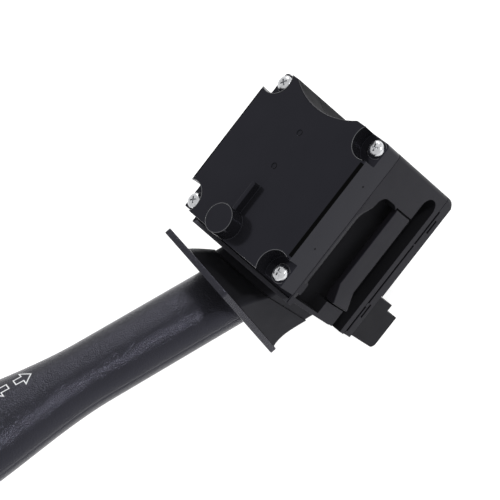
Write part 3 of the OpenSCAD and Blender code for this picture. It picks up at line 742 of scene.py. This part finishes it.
@dataclass(frozen=True)
class SwitchBox:
    """The moulded box: housing, cover, base plate, plug shroud and latch arms."""

    edge_radius: float = 0.12 * MM
    shroud_radius: float = 0.2 * MM
    cover_radius: float = 0.32 * MM
    arm_radius: float = 0.35 * MM
    half_length: float = 28.0 * MM
    channel_floor: float = 21.1 * MM
    channel_mouth: float = 25.95 * MM
    channel_roof: float = 36.7 * MM
    column_slack: float = 0.5 * MM
    lip_rear: float = -28.5 * MM
    lip_foot: float = 41.0 * MM
    level: float = 0.5

    def build(self, workshop: Workshop) -> None:
        """Rounds and dresses the box.

        Args:
            workshop: Where finishes are kept.
        """
        for node, body, finish, slot, radius in (
            ("housing", "box", BOX_PLASTIC, "black_plastic", self.edge_radius),
            ("cover", "box", COVER_PLASTIC, "cover_plastic", self.cover_radius),
            ("base_plate", "box", BOX_PLASTIC, "black_plastic", self.edge_radius),
            ("connector_shroud", "box", SHROUD_PLASTIC, "black_plastic", self.shroud_radius),
            ("latch_arm_near", "near_latch", BOX_PLASTIC, "black_plastic", self.arm_radius),
            ("latch_arm_far", "far_latch", BOX_PLASTIC, "black_plastic", self.arm_radius),
        ):
            piece = Moulding().copy(node, radius)
            workshop.hang(piece, body, finish, (node,))
            if node in ("housing", "cover", "base_plate"):
                self.shade_zones(piece.data, workshop)

    def shade_zones(self, mesh: bpy.types.Mesh, workshop: Workshop) -> None:
        """Gives the sunk parts a duller finish as painted shade and the front lip's top a lighter
        one as painted light.

        Args:
            mesh: A moulded shell, with its main finish.
            workshop: Where finishes are kept.
        """
        mesh.materials.append(workshop.finish(SUNK_SHADE))
        mesh.materials.append(workshop.finish(LIP_LIGHT))
        for face in mesh.polygons:
            face.material_index = self.zone(face).value

    def zone(self, face: bpy.types.MeshPolygon) -> Zone:
        """Finds which part of the box a face belongs to.

        Args:
            face: The face.

        Returns:
            Sunk in a side channel, a slot or the column recess, on the lip, or outside.
        """
        place = face.center
        sunk = abs(place.x) < self.half_length and place.z < self.channel_roof
        sunk = sunk and self.channel_floor < abs(place.y) < self.channel_mouth
        reach = (place.xy - Vector(COLUMN)).length
        if sunk or abs(reach - COLUMN_RADIUS) < self.column_slack:
            return Zone.SUNK
        ahead = place.x < self.lip_rear and place.z > self.lip_foot
        return Zone.LIP if ahead and face.normal.z > self.level else Zone.OUTSIDE


@dataclass(frozen=True)
class CoveEnds:
    """The soft rear end of the rounding above each upper side channel."""

    start: float = 4.6 * MM
    end: float = 12.5 * MM
    radius: float = 5.0 * MM
    last_radius: float = 0.05 * MM
    wall: float = HALF_WIDTH + 0.02 * MM
    roof: float = 36.57 * MM
    stations: int = 20
    arc_points: int = 14
    crease: float = 28.0

    def ring(self, t: float, side: Side) -> list[Vector]:
        """Lists the filler's section, a square with one rounded corner.

        Args:
            t: 0 where the full rounding starts to shrink, and 1 at its end.
            side: The side of the box.

        Returns:
            The points.
        """
        x = lerp(self.start, self.end, t)
        r = lerp(self.radius, self.last_radius, ease(t))
        outline = [(0.0, self.radius)]
        for i in range(self.arc_points + 1):
            a = math.pi / 2 * i / self.arc_points
            outline.append((r * (1 - math.cos(a)), r * (1 - math.sin(a))))
        outline += [(self.radius, 0.0), (self.radius, self.radius)]
        return [Vector((x, side.value * (self.wall - y), self.roof + z)) for y, z in outline]

    def build(self, workshop: Workshop) -> None:
        """Builds one filler on each side.

        Args:
            workshop: Where finishes are kept.
        """
        for side in Side:
            rings = [self.ring(k / self.stations, side) for k in range(self.stations + 1)]
            piece = loft("cove_end_" + side.name.lower(), rings)
            smooth(piece.data, self.crease)
            workshop.hang(piece, "box", BOX_PLASTIC)


@dataclass(frozen=True)
class EdgeBeads:
    """The fine beads round the cover's boss, pockets, screws and edges: lighter ones as painted
    highlights, near black ones as painted shade.
    """

    top: float = 56.0 * MM
    boss: Flat = PIN[:2]
    boss_radius: float = 5.2 * MM
    boss_height: float = 6.1 * MM
    boss_points: int = 96
    screw_x: Flat = (-23.75 * MM, 25.65 * MM)
    screw_y: float = 23.15 * MM
    pocket_radius: float = 6.0 * MM
    pocket_floor: float = 50.2 * MM
    pocket_angles: Flat = (-54.0, -200.0)
    collar_radius: float = 3.3 * MM
    collar_angles: Flat = (126.0, 414.0)
    front: float = -27.25 * MM
    front_half: float = 17.8 * MM
    column_angles: Flat = (148.4, 211.6)
    fold_inset: float = 0.9 * MM
    fold_ends: Flat = (-17.4 * MM, 19.3 * MM)
    fold_sides: int = 32
    marks: tuple[Flat, ...] = ((13.7 * MM, 48.2 * MM), (-11.0 * MM, 48.1 * MM))
    mark_radius: float = 0.28 * MM
    mark_points: int = 12
    fold_line_radius: float = 0.9 * MM
    fine: float = 0.08 * MM
    full: float = 0.13 * MM

    def build(self, workshop: Workshop) -> None:
        """Lays the beads.

        Args:
            workshop: Where finishes are kept.
        """
        # Lighter beads: painted highlights along the edges.
        for bead in (*self.round_boss(), *self.along_edges(), *self.round_screws()):
            workshop.hang(bead.build(), "box", EDGE_SHINE)
        # Near black beads: painted shade along the folds and in the mould marks.
        for bead in (*self.folds(), *self.mould_marks()):
            workshop.hang(bead.build(), "box", SEAM_SHADE)

    def round_boss(self) -> list[Bead]:
        """Plans the painted highlight beads round the boss, at its top and at its foot.

        Returns:
            The beads.
        """
        beads = []
        for name, radius, height in (
            ("boss_top_bead", self.boss_radius - self.full, self.boss_height),
            ("boss_foot_bead", self.boss_radius + self.fine, 0.0),
        ):
            middle = (*self.boss, self.top + height - self.fine / 2)
            beads.append(Bead(name, circle(middle, radius, self.boss_points), self.full, True))
        return beads

    def along_edges(self) -> list[Bead]:
        """Plans the painted highlight beads on the cover's front edge and round the column
        recess.

        Returns:
            The beads.
        """
        level = self.top - self.fine
        ends = (-self.front_half, self.front_half)
        front = [Vector((self.front + self.fine, y, level)) for y in ends]
        column = arc((*COLUMN, level), COLUMN_RADIUS + self.fine, self.column_angles)
        return [
            Bead("front_edge_bead", front, self.fine),
            Bead("column_edge_bead", column, self.fine),
        ]

    def round_screws(self) -> list[Bead]:
        """Plans the painted highlight beads on each pocket's rim and on the collar under each
        screw.

        Returns:
            The beads.
        """
        rim = arc((0.0, 0.0, self.top), self.pocket_radius, self.pocket_angles)
        collar = arc((0.0, 0.0, self.pocket_floor), self.collar_radius, self.collar_angles)
        beads = []
        for number, x in enumerate(self.screw_x, 1):
            for side in Side:
                for name, path in (("pocket_bead", rim), ("screw_collar", collar)):
                    label = f"{name}_{number}_{side.name.lower()}"
                    beads.append(Bead(label, self.cornered(path, x, side), self.full))
        return beads

    def cornered(self, path: list[Vector], x: float, side: Side) -> list[Vector]:
        """Moves a path to a screw and turns it to the corner that the screw is in.

        Args:
            path: The path, with X towards the box's end and Y towards its side.
            x: The screw's place along the box.
            side: The screw's side of the box.

        Returns:
            The moved path.
        """
        flip = math.copysign(1, x)
        return [Vector((x + flip * p.x, side.value * (self.screw_y + p.y), p.z)) for p in path]

    def folds(self) -> list[Bead]:
        """Plans the dark line of painted shade along each long fold of the cover.

        Returns:
            The shade lines.
        """
        seams = []
        for side in Side:
            y, z = side.value * (HALF_WIDTH - self.fold_inset), self.top - self.fold_inset
            path = [Vector((x, y, z)) for x in self.fold_ends]
            name = "fold_shade_" + side.name.lower()
            seams.append(Bead(name, path, self.fold_line_radius, sides=self.fold_sides))
        return seams

    def mould_marks(self) -> list[Bead]:
        """Plans the two round mould marks on the near side, each a dark ring of painted shade.

        Returns:
            The marks.
        """
        marks = []
        for number, (x, z) in enumerate(self.marks, 1):
            flat = circle((x, z, 0.0), self.mark_radius, self.mark_points)
            path = [Vector((p.x, -HALF_WIDTH, p.y)) for p in flat]
            marks.append(Bead(f"mould_mark_{number}", path, self.fine, True))
        return marks


@dataclass(frozen=True)
class Mechanism:
    """The pieces inside the box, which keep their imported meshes."""

    sliding: tuple[str, ...] = (
        "turn_carrier",
        "detent_track",
        "turn_plunger",
        "beam_plunger",
        "beam_track",
        "cancel_finger",
        "contact_slider",
        "beam_slider",
    )
    springs: tuple[str, ...] = ("turn_spring", "beam_spring", "cancel_spring")
    contacts: tuple[str, ...] = ("fixed_contacts", "slider_bridges", "beam_bridges")

    def build(self, workshop: Workshop) -> None:
        """Dresses the inner pieces.

        Args:
            workshop: Where finishes are kept.
        """
        workshop.dress(self.sliding, SLIDING_PLASTIC)
        workshop.dress(self.springs, SPRING_STEEL)
        workshop.dress(self.contacts, CONTACT_BRASS)
        workshop.dress(("contact_board",), BOARD)
        workshop.dress(("terminal_pins",), TERMINAL_TIN)
        workshop.dress(("tilt_pin",), PIN_STEEL)
        workshop.dress(("lever_root",), TRUMPET_PLASTIC)
        workshop.dress(("lever_core",), CORE_PLASTIC)


@dataclass(frozen=True)
class CoverScrews:
    """The four pan heads with their cross recesses, and the shanks below."""

    head_radius: float = 2.75 * MM
    head_height: float = 2.0 * MM
    rim_height: float = 0.9 * MM
    rim_chamfer: float = 0.12 * MM
    crown_power: float = 0.7
    crown_step: int = 9
    shank_radius: float = 1.5 * MM
    shank_chamfer: float = 0.4 * MM
    ring_points: int = 48
    cross_turns: tuple[float, ...] = (12.0, 38.0, 21.0, 52.0)
    # Height, reach and half width of the recess at its floor, its neck and its mouth.
    cross_levels: tuple[Point, ...] = (
        (0.85 * MM, 0.45 * MM, 0.25 * MM),
        (1.2 * MM, 0.899 * MM, 0.21 * MM),
        (2.2 * MM, 1.45 * MM, 0.28 * MM),
    )
    crease: float = 28.0

    def places(self) -> list[Vector]:
        """Finds the middle of each head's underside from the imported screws.

        Returns:
            Four points.
        """
        low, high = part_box("cover_screws")
        reach = self.head_radius
        z = high.z - self.head_height
        return [
            Vector((x, y, z))
            for x in (low.x + reach, high.x - reach)
            for y in (low.y + reach, high.y - reach)
        ]

    def profile(self) -> list[Flat]:
        """Draws half of the head's section, from the shank's end to the crown.

        Returns:
            Radius and height of each point.
        """
        low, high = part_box("cover_screws")
        bottom = low.z - (high.z - self.head_height)
        shank, head = self.shank_radius, self.head_radius
        points = [
            (shank - self.shank_chamfer, bottom),
            (shank, bottom + self.shank_chamfer),
            (shank, 0.0),
            (head - self.rim_chamfer, 0.0),
            (head, self.rim_chamfer),
        ]
        for degrees in range(0, 90, self.crown_step):
            a = math.radians(degrees)
            height = lerp(self.rim_height, self.head_height, math.sin(a))
            points.append((head * math.cos(a) ** self.crown_power, height))
        return points

    def head(self, name: str, place: Vector, turn: float) -> bpy.types.Object:
        """Builds one screw and sinks its cross recess.

        Args:
            name: The piece's name.
            place: Middle of the head's underside.
            turn: Angle of the cross in degrees.

        Returns:
            The screw.
        """
        rings = [
            circle(place + Vector((0.0, 0.0, z)), radius, self.ring_points)
            for radius, z in self.profile()
        ]
        screw = loft(name, rings)
        cutter = self.cross(place, turn)
        cut = screw.modifiers.new("recess", "BOOLEAN")
        cut.object = cutter
        cut.solver = "EXACT"
        settle(screw)
        bpy.data.objects.remove(cutter)
        smooth(screw.data, self.crease)
        return screw

    def cross(self, place: Vector, turn: float) -> bpy.types.Object:
        """Builds the tapered cross that cuts the recess.

        Args:
            place: Middle of the head's underside.
            turn: Angle of the cross in degrees.

        Returns:
            The cutter.
        """
        rings = []
        for z, reach, width in self.cross_levels:
            ring = []
            for quarter in range(4):
                spin = Matrix.Rotation(math.radians(90 * quarter + turn), 3, "Z")
                for x, y in ((width, -width), (reach, -width), (reach, width)):
                    ring.append(place + spin @ Vector((x, y, z)))
            rings.append(ring)
        return loft("cross_cutter", rings)

    def build(self, workshop: Workshop) -> None:
        """Builds the four screws.

        Args:
            workshop: Where finishes are kept.
        """
        for number, (place, turn) in enumerate(zip(self.places(), self.cross_turns), 1):
            screw = self.head(f"cover_screw_{number}", place, turn)
            workshop.hang(screw, "box", ZINC, ("cover_screws",))


@dataclass(frozen=True)
class Lever:
    """The angled stalk: two moulded shells, end cap and printed arrows."""

    yaw: float = 6.0
    pitch: float = 28.5
    plate_at: float = 22.7 * MM
    plate_yaw: float = 5.4
    plate_pitch: float = 10.9
    length: float = 119.0 * MM
    stem_a: float = 11.5 * MM
    stem_b: float = 9.0 * MM
    flare_a: float = 18.3 * MM
    flare_b: float = 10.5 * MM
    flare_from: float = 52.2 * MM
    flare_length: float = 61.5 * MM
    slant_length: float = 22.0 * MM
    oval_power: float = 2.3
    wall: float = 2.0 * MM
    start: float = 2.25 * MM
    cap: float = 9.0 * MM
    cap_roundness: float = 0.8
    cap_shrink: float = 8.0 * MM
    cap_inset: float = 0.2 * MM
    cap_gap: float = 0.15 * MM
    cap_stations: int = 24
    cap_crease: float = 34.0
    groove: float = 0.1 * MM
    half_points: int = 72
    stations: int = 90
    crease: float = 30.0

    def axes(self) -> tuple[Vector, Vector, Vector]:
        """Gives the lever's own directions.

        Returns:
            Outwards, to the near side, and towards the driver.
        """
        yaw = math.radians(self.yaw)
        out = heading(self.yaw, self.pitch)
        near = Vector((-math.sin(yaw), -math.cos(yaw), 0.0))
        return out, near, out.cross(near)

    def flare(self, s: float) -> float:
        """Tells how far the stem has widened at distance s beyond the rim plate."""
        return ease((s - self.flare_from) / self.flare_length)

    def edge(self, s: float, t: float, inset: float) -> Vector:
        """Finds one point of the lever's section.

        Args:
            s: Distance beyond the rim plate.
            t: Angle round the section in degrees.
            inset: How far inside the outer surface.

        Returns:
            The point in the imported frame.
        """
        grown = self.flare(s)
        a = lerp(self.stem_a, self.flare_a, grown) - inset
        b = lerp(self.stem_b, self.flare_b, grown) - inset
        cos, sin = math.cos(math.radians(t)), math.sin(math.radians(t))
        y = math.copysign(a * abs(cos) ** (2 / self.oval_power), cos)
        z = math.copysign(b * abs(sin) ** (2 / self.oval_power), sin)
        fade = max(0.0, 1 - (s - self.start) / self.slant_length)
        lean = z * math.tan(math.radians(self.pitch - self.plate_pitch))
        lean += y * math.tan(math.radians(self.plate_yaw - self.yaw))
        out, near, up = self.axes()
        x = self.plate_at + s + lean * fade
        return Vector(PIN) + x * out + y * near + z * up

    def shell(self, name: str, side: int) -> bpy.types.Object:
        """Builds one half of the stem with a fine groove along its parting line.

        Args:
            name: The piece's name.
            side: 1 for the driver's side, and -1 for the other.

        Returns:
            The shell.
        """
        end = self.length - self.cap
        n = self.half_points
        angles = [side * 180 * i / n for i in range(n + 1)]
        rings = []
        for k in range(self.stations + 1):
            s = lerp(self.start, end, k / self.stations)
            outer = [self.edge(s, t, 0.0) for t in angles]
            outer[0] = self.edge(s, angles[0], self.groove)
            outer[-1] = self.edge(s, angles[-1], self.groove)
            rings.append(outer + [self.edge(s, t, self.wall) for t in reversed(angles)])
        shell = loft(name, rings, Ends.WALLED)
        smooth(shell.data, self.crease)
        return shell

    def end_cap(self) -> bpy.types.Object:
        """Builds the domed cap that closes the stem.

        Returns:
            The cap.
        """
        first = self.length - self.cap
        count = 2 * self.half_points
        angles = [360 * i / count for i in range(count)]
        rings = [[self.edge(first, a, self.cap_inset) for a in angles]]
        for k in range(self.cap_stations + 1):
            t = k / self.cap_stations
            inset = self.cap_shrink * (1 - math.sqrt(1 - t * t * self.cap_roundness))
            s = lerp(first + self.cap_gap, self.length, t)
            rings.append([self.edge(s, a, inset) for a in angles])
        cap = loft("lever_end_cap_moulded", rings)
        smooth(cap.data, self.cap_crease)
        return cap

    def build(self, workshop: Workshop) -> None:
        """Builds the shells, the cap and the arrows.

        Args:
            workshop: Where finishes are kept.
        """
        for name, side in (("lever_shell_top", 1), ("lever_shell_bottom", -1)):
            shell = self.shell(name + "_moulded", side)
            workshop.hang(shell, "lever", LEVER_PLASTIC, (name,))
        cap = self.end_cap()
        workshop.hang(cap, "lever", LEVER_PLASTIC, ("lever_end_cap",))
        for name, way in (("arrow_to_box", Arrow.TO_BOX), ("arrow_to_tip", Arrow.TO_TIP)):
            arrow = ArrowPrint().outline(name, self, way)
            workshop.hang(arrow, "lever", ARROW_INK)


@dataclass(frozen=True)
class ArrowPrint:
    """The pair of outlined arrows printed on the stem's driver side."""

    middle: float = 78.2 * MM
    gap: float = 1.07 * MM
    shaft_length: float = 2.85 * MM
    head_length: float = 3.6 * MM
    shaft_half: float = 1.35 * MM
    head_half: float = 3.4 * MM
    across: float = -5.2 * MM
    line: float = 0.4 * MM
    height: float = 0.03 * MM
    sink: float = 0.06 * MM
    step: float = 0.25 * MM
    sharpest: float = 0.3

    def corners(self, way: Arrow) -> list[Flat]:
        """Lists the arrow's corners in the plane of the print.

        Args:
            way: Which way it points.

        Returns:
            Distance along the stem and across it, for each corner.
        """
        back = self.gap
        neck = self.gap + self.shaft_length
        tip = neck + self.head_length
        plain = [
            (back, -self.shaft_half),
            (neck, -self.shaft_half),
            (neck, -self.head_half),
            (tip, 0.0),
            (neck, self.head_half),
            (neck, self.shaft_half),
            (back, self.shaft_half),
        ]
        return [(self.middle + way.value * x, self.across + y) for x, y in plain]

    def inside(self, points: list[Flat], way: Arrow) -> list[Flat]:
        """Moves each corner inwards by the width of the printed line.

        Args:
            points: The outer corners.
            way: Which way the arrow points, which sets the corners' turning sense.

        Returns:
            The inner corners.
        """
        moved = []
        count = len(points)
        for i, here in enumerate(points):
            before = Vector(here) - Vector(points[i - 1])
            after = Vector(points[(i + 1) % count]) - Vector(here)
            normals = [Vector((-d.y, d.x)).normalized() * way.value for d in (before, after)]
            middle = (normals[0] + normals[1]).normalized()
            reach = self.line / max(self.sharpest, middle.dot(normals[0]))
            moved.append(tuple(Vector(here) + middle * reach))
        return moved

    def divided(self, points: list[Flat], steps: list[int]) -> list[Flat]:
        """Divides each side of a closed outline into equal steps.

        Args:
            points: The corners.
            steps: Number of steps on each side.

        Returns:
            The finer outline.
        """
        fine = []
        for (x, y), (next_x, next_y), count in zip(points, points[1:] + points[:1], steps):
            shares = [k / count for k in range(count)]
            fine += [(lerp(x, next_x, t), lerp(y, next_y, t)) for t in shares]
        return fine

    def on_stem(self, lever: Lever, s: float, across: float, lift: float) -> Vector:
        """Drops a point of the print onto the stem.

        Args:
            lever: The stem.
            s: Distance beyond the rim plate.
            across: Distance to the near side from the stem's middle.
            lift: Height above the surface.

        Returns:
            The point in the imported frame.
        """
        grown = lever.flare(s)
        a = lerp(lever.stem_a, lever.flare_a, grown)
        cos = across / a
        t = math.degrees(math.acos(math.copysign(abs(cos) ** (lever.oval_power / 2), cos)))
        return lever.edge(s, t, -lift)

    def outline(self, name: str, lever: Lever, way: Arrow) -> bpy.types.Object:
        """Builds one arrow as a thin raised line on the stem.

        Args:
            name: The piece's name.
            lever: The stem that it is printed on.
            way: Which way it points.

        Returns:
            The arrow.
        """
        outer = self.corners(way)
        inner = self.inside(outer, way)
        sides = zip(outer, outer[1:] + outer[:1])
        steps = [
            max(1, round((Vector(there) - Vector(here)).length / self.step))
            for here, there in sides
        ]
        outer, inner = self.divided(outer, steps), self.divided(inner, steps)
        rings = [
            [self.on_stem(lever, *point, lift) for point in rim]
            for rim, lift in (
                (outer, -self.sink),
                (outer, self.height),
                (inner, self.height),
                (inner, -self.sink),
            )
        ]
        return loft(name, rings, Ends.JOINED)


@dataclass(frozen=True)
class RimPlate:
    """The flange that closes the cowl round the lever, with its trumpet."""

    edge_radius: float = 0.3 * MM
    slack: float = 0.15 * MM

    def build(self, workshop: Workshop) -> None:
        """Rounds the rim plate and dresses it, the trumpet duller than the plate.

        Args:
            workshop: Where finishes are kept.
        """
        piece = Moulding().copy("rim_plate", self.edge_radius)
        workshop.hang(piece, "lever", TRUMPET_PLASTIC, ("rim_plate",))
        piece.data.materials.append(workshop.finish(LEVER_PLASTIC))
        lever = Lever()
        out = heading(lever.plate_yaw, lever.plate_pitch)
        back = (lever.plate_at * lever.axes()[0]).dot(out) - self.slack
        for face in piece.data.polygons:
            if (face.center - Vector(PIN)).dot(out) > back:
                face.material_index = 1


@dataclass(frozen=True)
class SoftBox:
    """A square lamp that faces the box."""

    name: str
    place: Point
    width: float
    power: float
    aim: Point = (0.0, 0.0, 20 * MM)

    def build(self) -> None:
        """Hangs the lamp."""
        data = bpy.data.lights.new(self.name, "AREA")
        data.shape = "SQUARE"
        data.size = self.width
        data.energy = self.power
        lamp = bpy.data.objects.new(self.name, data)
        bpy.context.scene.collection.objects.link(lamp)
        lamp.matrix_world = facing(self.place, self.aim)


def facing(place: Point, aim: Point) -> Matrix:
    """Stands at a place and looks at a point, as a lamp or camera does.

    Args:
        place: The place.
        aim: The point.

    Returns:
        The matrix for that place.
    """
    look = (Vector(aim) - Vector(place)).to_track_quat("-Z", "Y")
    return Matrix.Translation(place) @ look.to_matrix().to_4x4()


@dataclass(frozen=True)
class Studio:
    """Camera, lamps, floor and background."""

    camera_place: Point = (4.41 * MM, -304.4 * MM, 432.04 * MM)
    camera_aim: Point = (-25.2 * MM, 0.39 * MM, 40.0 * MM)
    camera_roll: float = -56.64
    focal_pixels: float = 1500.0
    picture_pixels: float = 500.0
    sensor: float = 36.0
    nearest: float = 0.01
    floor_level: float = -45 * MM
    floor_half: float = 3.0
    floor_grey: float = 0.8
    floor_roughness: float = 0.9
    floor_glow: float = 0.55
    wall_top: float = 0.2
    ceiling_from: float = 0.6
    ceiling: float = 0.8
    fill: float = 0.72
    lamps: tuple[SoftBox, ...] = (
        SoftBox("right_softbox", (0.56, -0.42, 0.74), 0.09, 2.6),
        SoftBox("back_softbox", (0.58, 0.6, 0.57), 0.22, 1.3),
    )

    def camera(self) -> None:
        """Sets up the camera at the photograph's viewpoint."""
        data = bpy.data.cameras.new("camera")
        data.sensor_width = self.sensor
        data.lens = self.focal_pixels / self.picture_pixels * self.sensor
        data.clip_start = self.nearest
        camera = bpy.data.objects.new("camera", data)
        bpy.context.scene.collection.objects.link(camera)
        roll = Matrix.Rotation(math.radians(self.camera_roll), 4, "Z")
        camera.matrix_world = facing(self.camera_place, self.camera_aim) @ roll
        bpy.context.scene.camera = camera

    def floor(self) -> None:
        """Lays the pale floor, which shows white and keeps a soft shadow."""
        half, z = self.floor_half, self.floor_level
        corners = [(-half, -half, z), (half, -half, z), (half, half, z), (-half, half, z)]
        mesh = bpy.data.meshes.new("studio_floor")
        mesh.from_pydata(corners, [], [(0, 1, 2, 3)])
        floor = link_mesh("studio_floor", mesh)
        material = bpy.data.materials.new("floor_paper")
        material.use_nodes = True
        tree = material.node_tree
        surface = next(n for n in tree.nodes if n.type == "BSDF_PRINCIPLED")
        surface.inputs["Base Color"].default_value = (*(self.floor_grey,) * 3, 1.0)
        surface.inputs["Roughness"].default_value = self.floor_roughness
        surface.inputs["Emission Color"].default_value = (1.0, 1.0, 1.0, 1.0)
        glow = tree.nodes.new("ShaderNodeMix")
        glow.inputs["A"].default_value = 0.0
        glow.inputs["B"].default_value = self.floor_glow
        tree.links.new(self.seen(tree), glow.inputs["Factor"])
        tree.links.new(glow.outputs["Result"], surface.inputs["Emission Strength"])
        mesh.materials.append(material)

    def seen(self, tree: bpy.types.NodeTree) -> bpy.types.NodeSocket:
        """Tells which rays show the background, straight or by a reflection.

        Args:
            tree: The node tree to add to.

        Returns:
            The socket, 1 for those rays and 0 for the others.
        """
        path = tree.nodes.new("ShaderNodeLightPath")
        total = path.outputs["Is Camera Ray"]
        for name in ("Is Glossy Ray", "Is Transmission Ray"):
            node = tree.nodes.new("ShaderNodeMath")
            node.operation = "MAXIMUM"
            tree.links.new(total, node.inputs[0])
            tree.links.new(path.outputs[name], node.inputs[1])
            total = node.outputs[0]
        return total

    def surroundings(self) -> None:
        """Fills the world with pale light, white at the horizon and greyer overhead."""
        world = bpy.data.worlds.new("studio_world")
        bpy.context.scene.world = world
        world.use_nodes = True
        tree = world.node_tree
        background = next(n for n in tree.nodes if n.type == "BACKGROUND")
        background.inputs["Color"].default_value = (1.0, 1.0, 1.0, 1.0)
        split = tree.nodes.new("ShaderNodeSeparateXYZ")
        tree.links.new(tree.nodes.new("ShaderNodeTexCoord").outputs["Generated"], split.inputs[0])
        height = tree.nodes.new("ShaderNodeMapRange")
        for name, number in (
            ("From Min", self.wall_top),
            ("From Max", self.ceiling_from),
            ("To Min", 1.0),
            ("To Max", self.ceiling),
        ):
            height.inputs[name].default_value = number
        tree.links.new(split.outputs["Z"], height.inputs["Value"])
        level = tree.nodes.new("ShaderNodeMix")
        level.inputs["A"].default_value = self.fill
        tree.links.new(height.outputs["Result"], level.inputs["B"])
        tree.links.new(self.seen(tree), level.inputs["Factor"])
        tree.links.new(level.outputs["Result"], background.inputs["Strength"])

    def build(self) -> None:
        """Sets up the whole studio."""
        scene = bpy.context.scene
        scene.view_settings.view_transform = "Standard"
        self.camera()
        self.floor()
        self.surroundings()
        for lamp in self.lamps:
            lamp.build()


def main() -> None:
    """Builds the pieces in order and reports each one."""
    logging.basicConfig(level=logging.INFO, format="%(message)s")
    workshop = Workshop()
    Studio().build()
    SwitchBox().build(workshop)
    CoveEnds().build(workshop)
    EdgeBeads().build(workshop)
    CoverScrews().build(workshop)
    Mechanism().build(workshop)
    RimPlate().build(workshop)
    Lever().build(workshop)


if __name__ == "__main__":
    main()
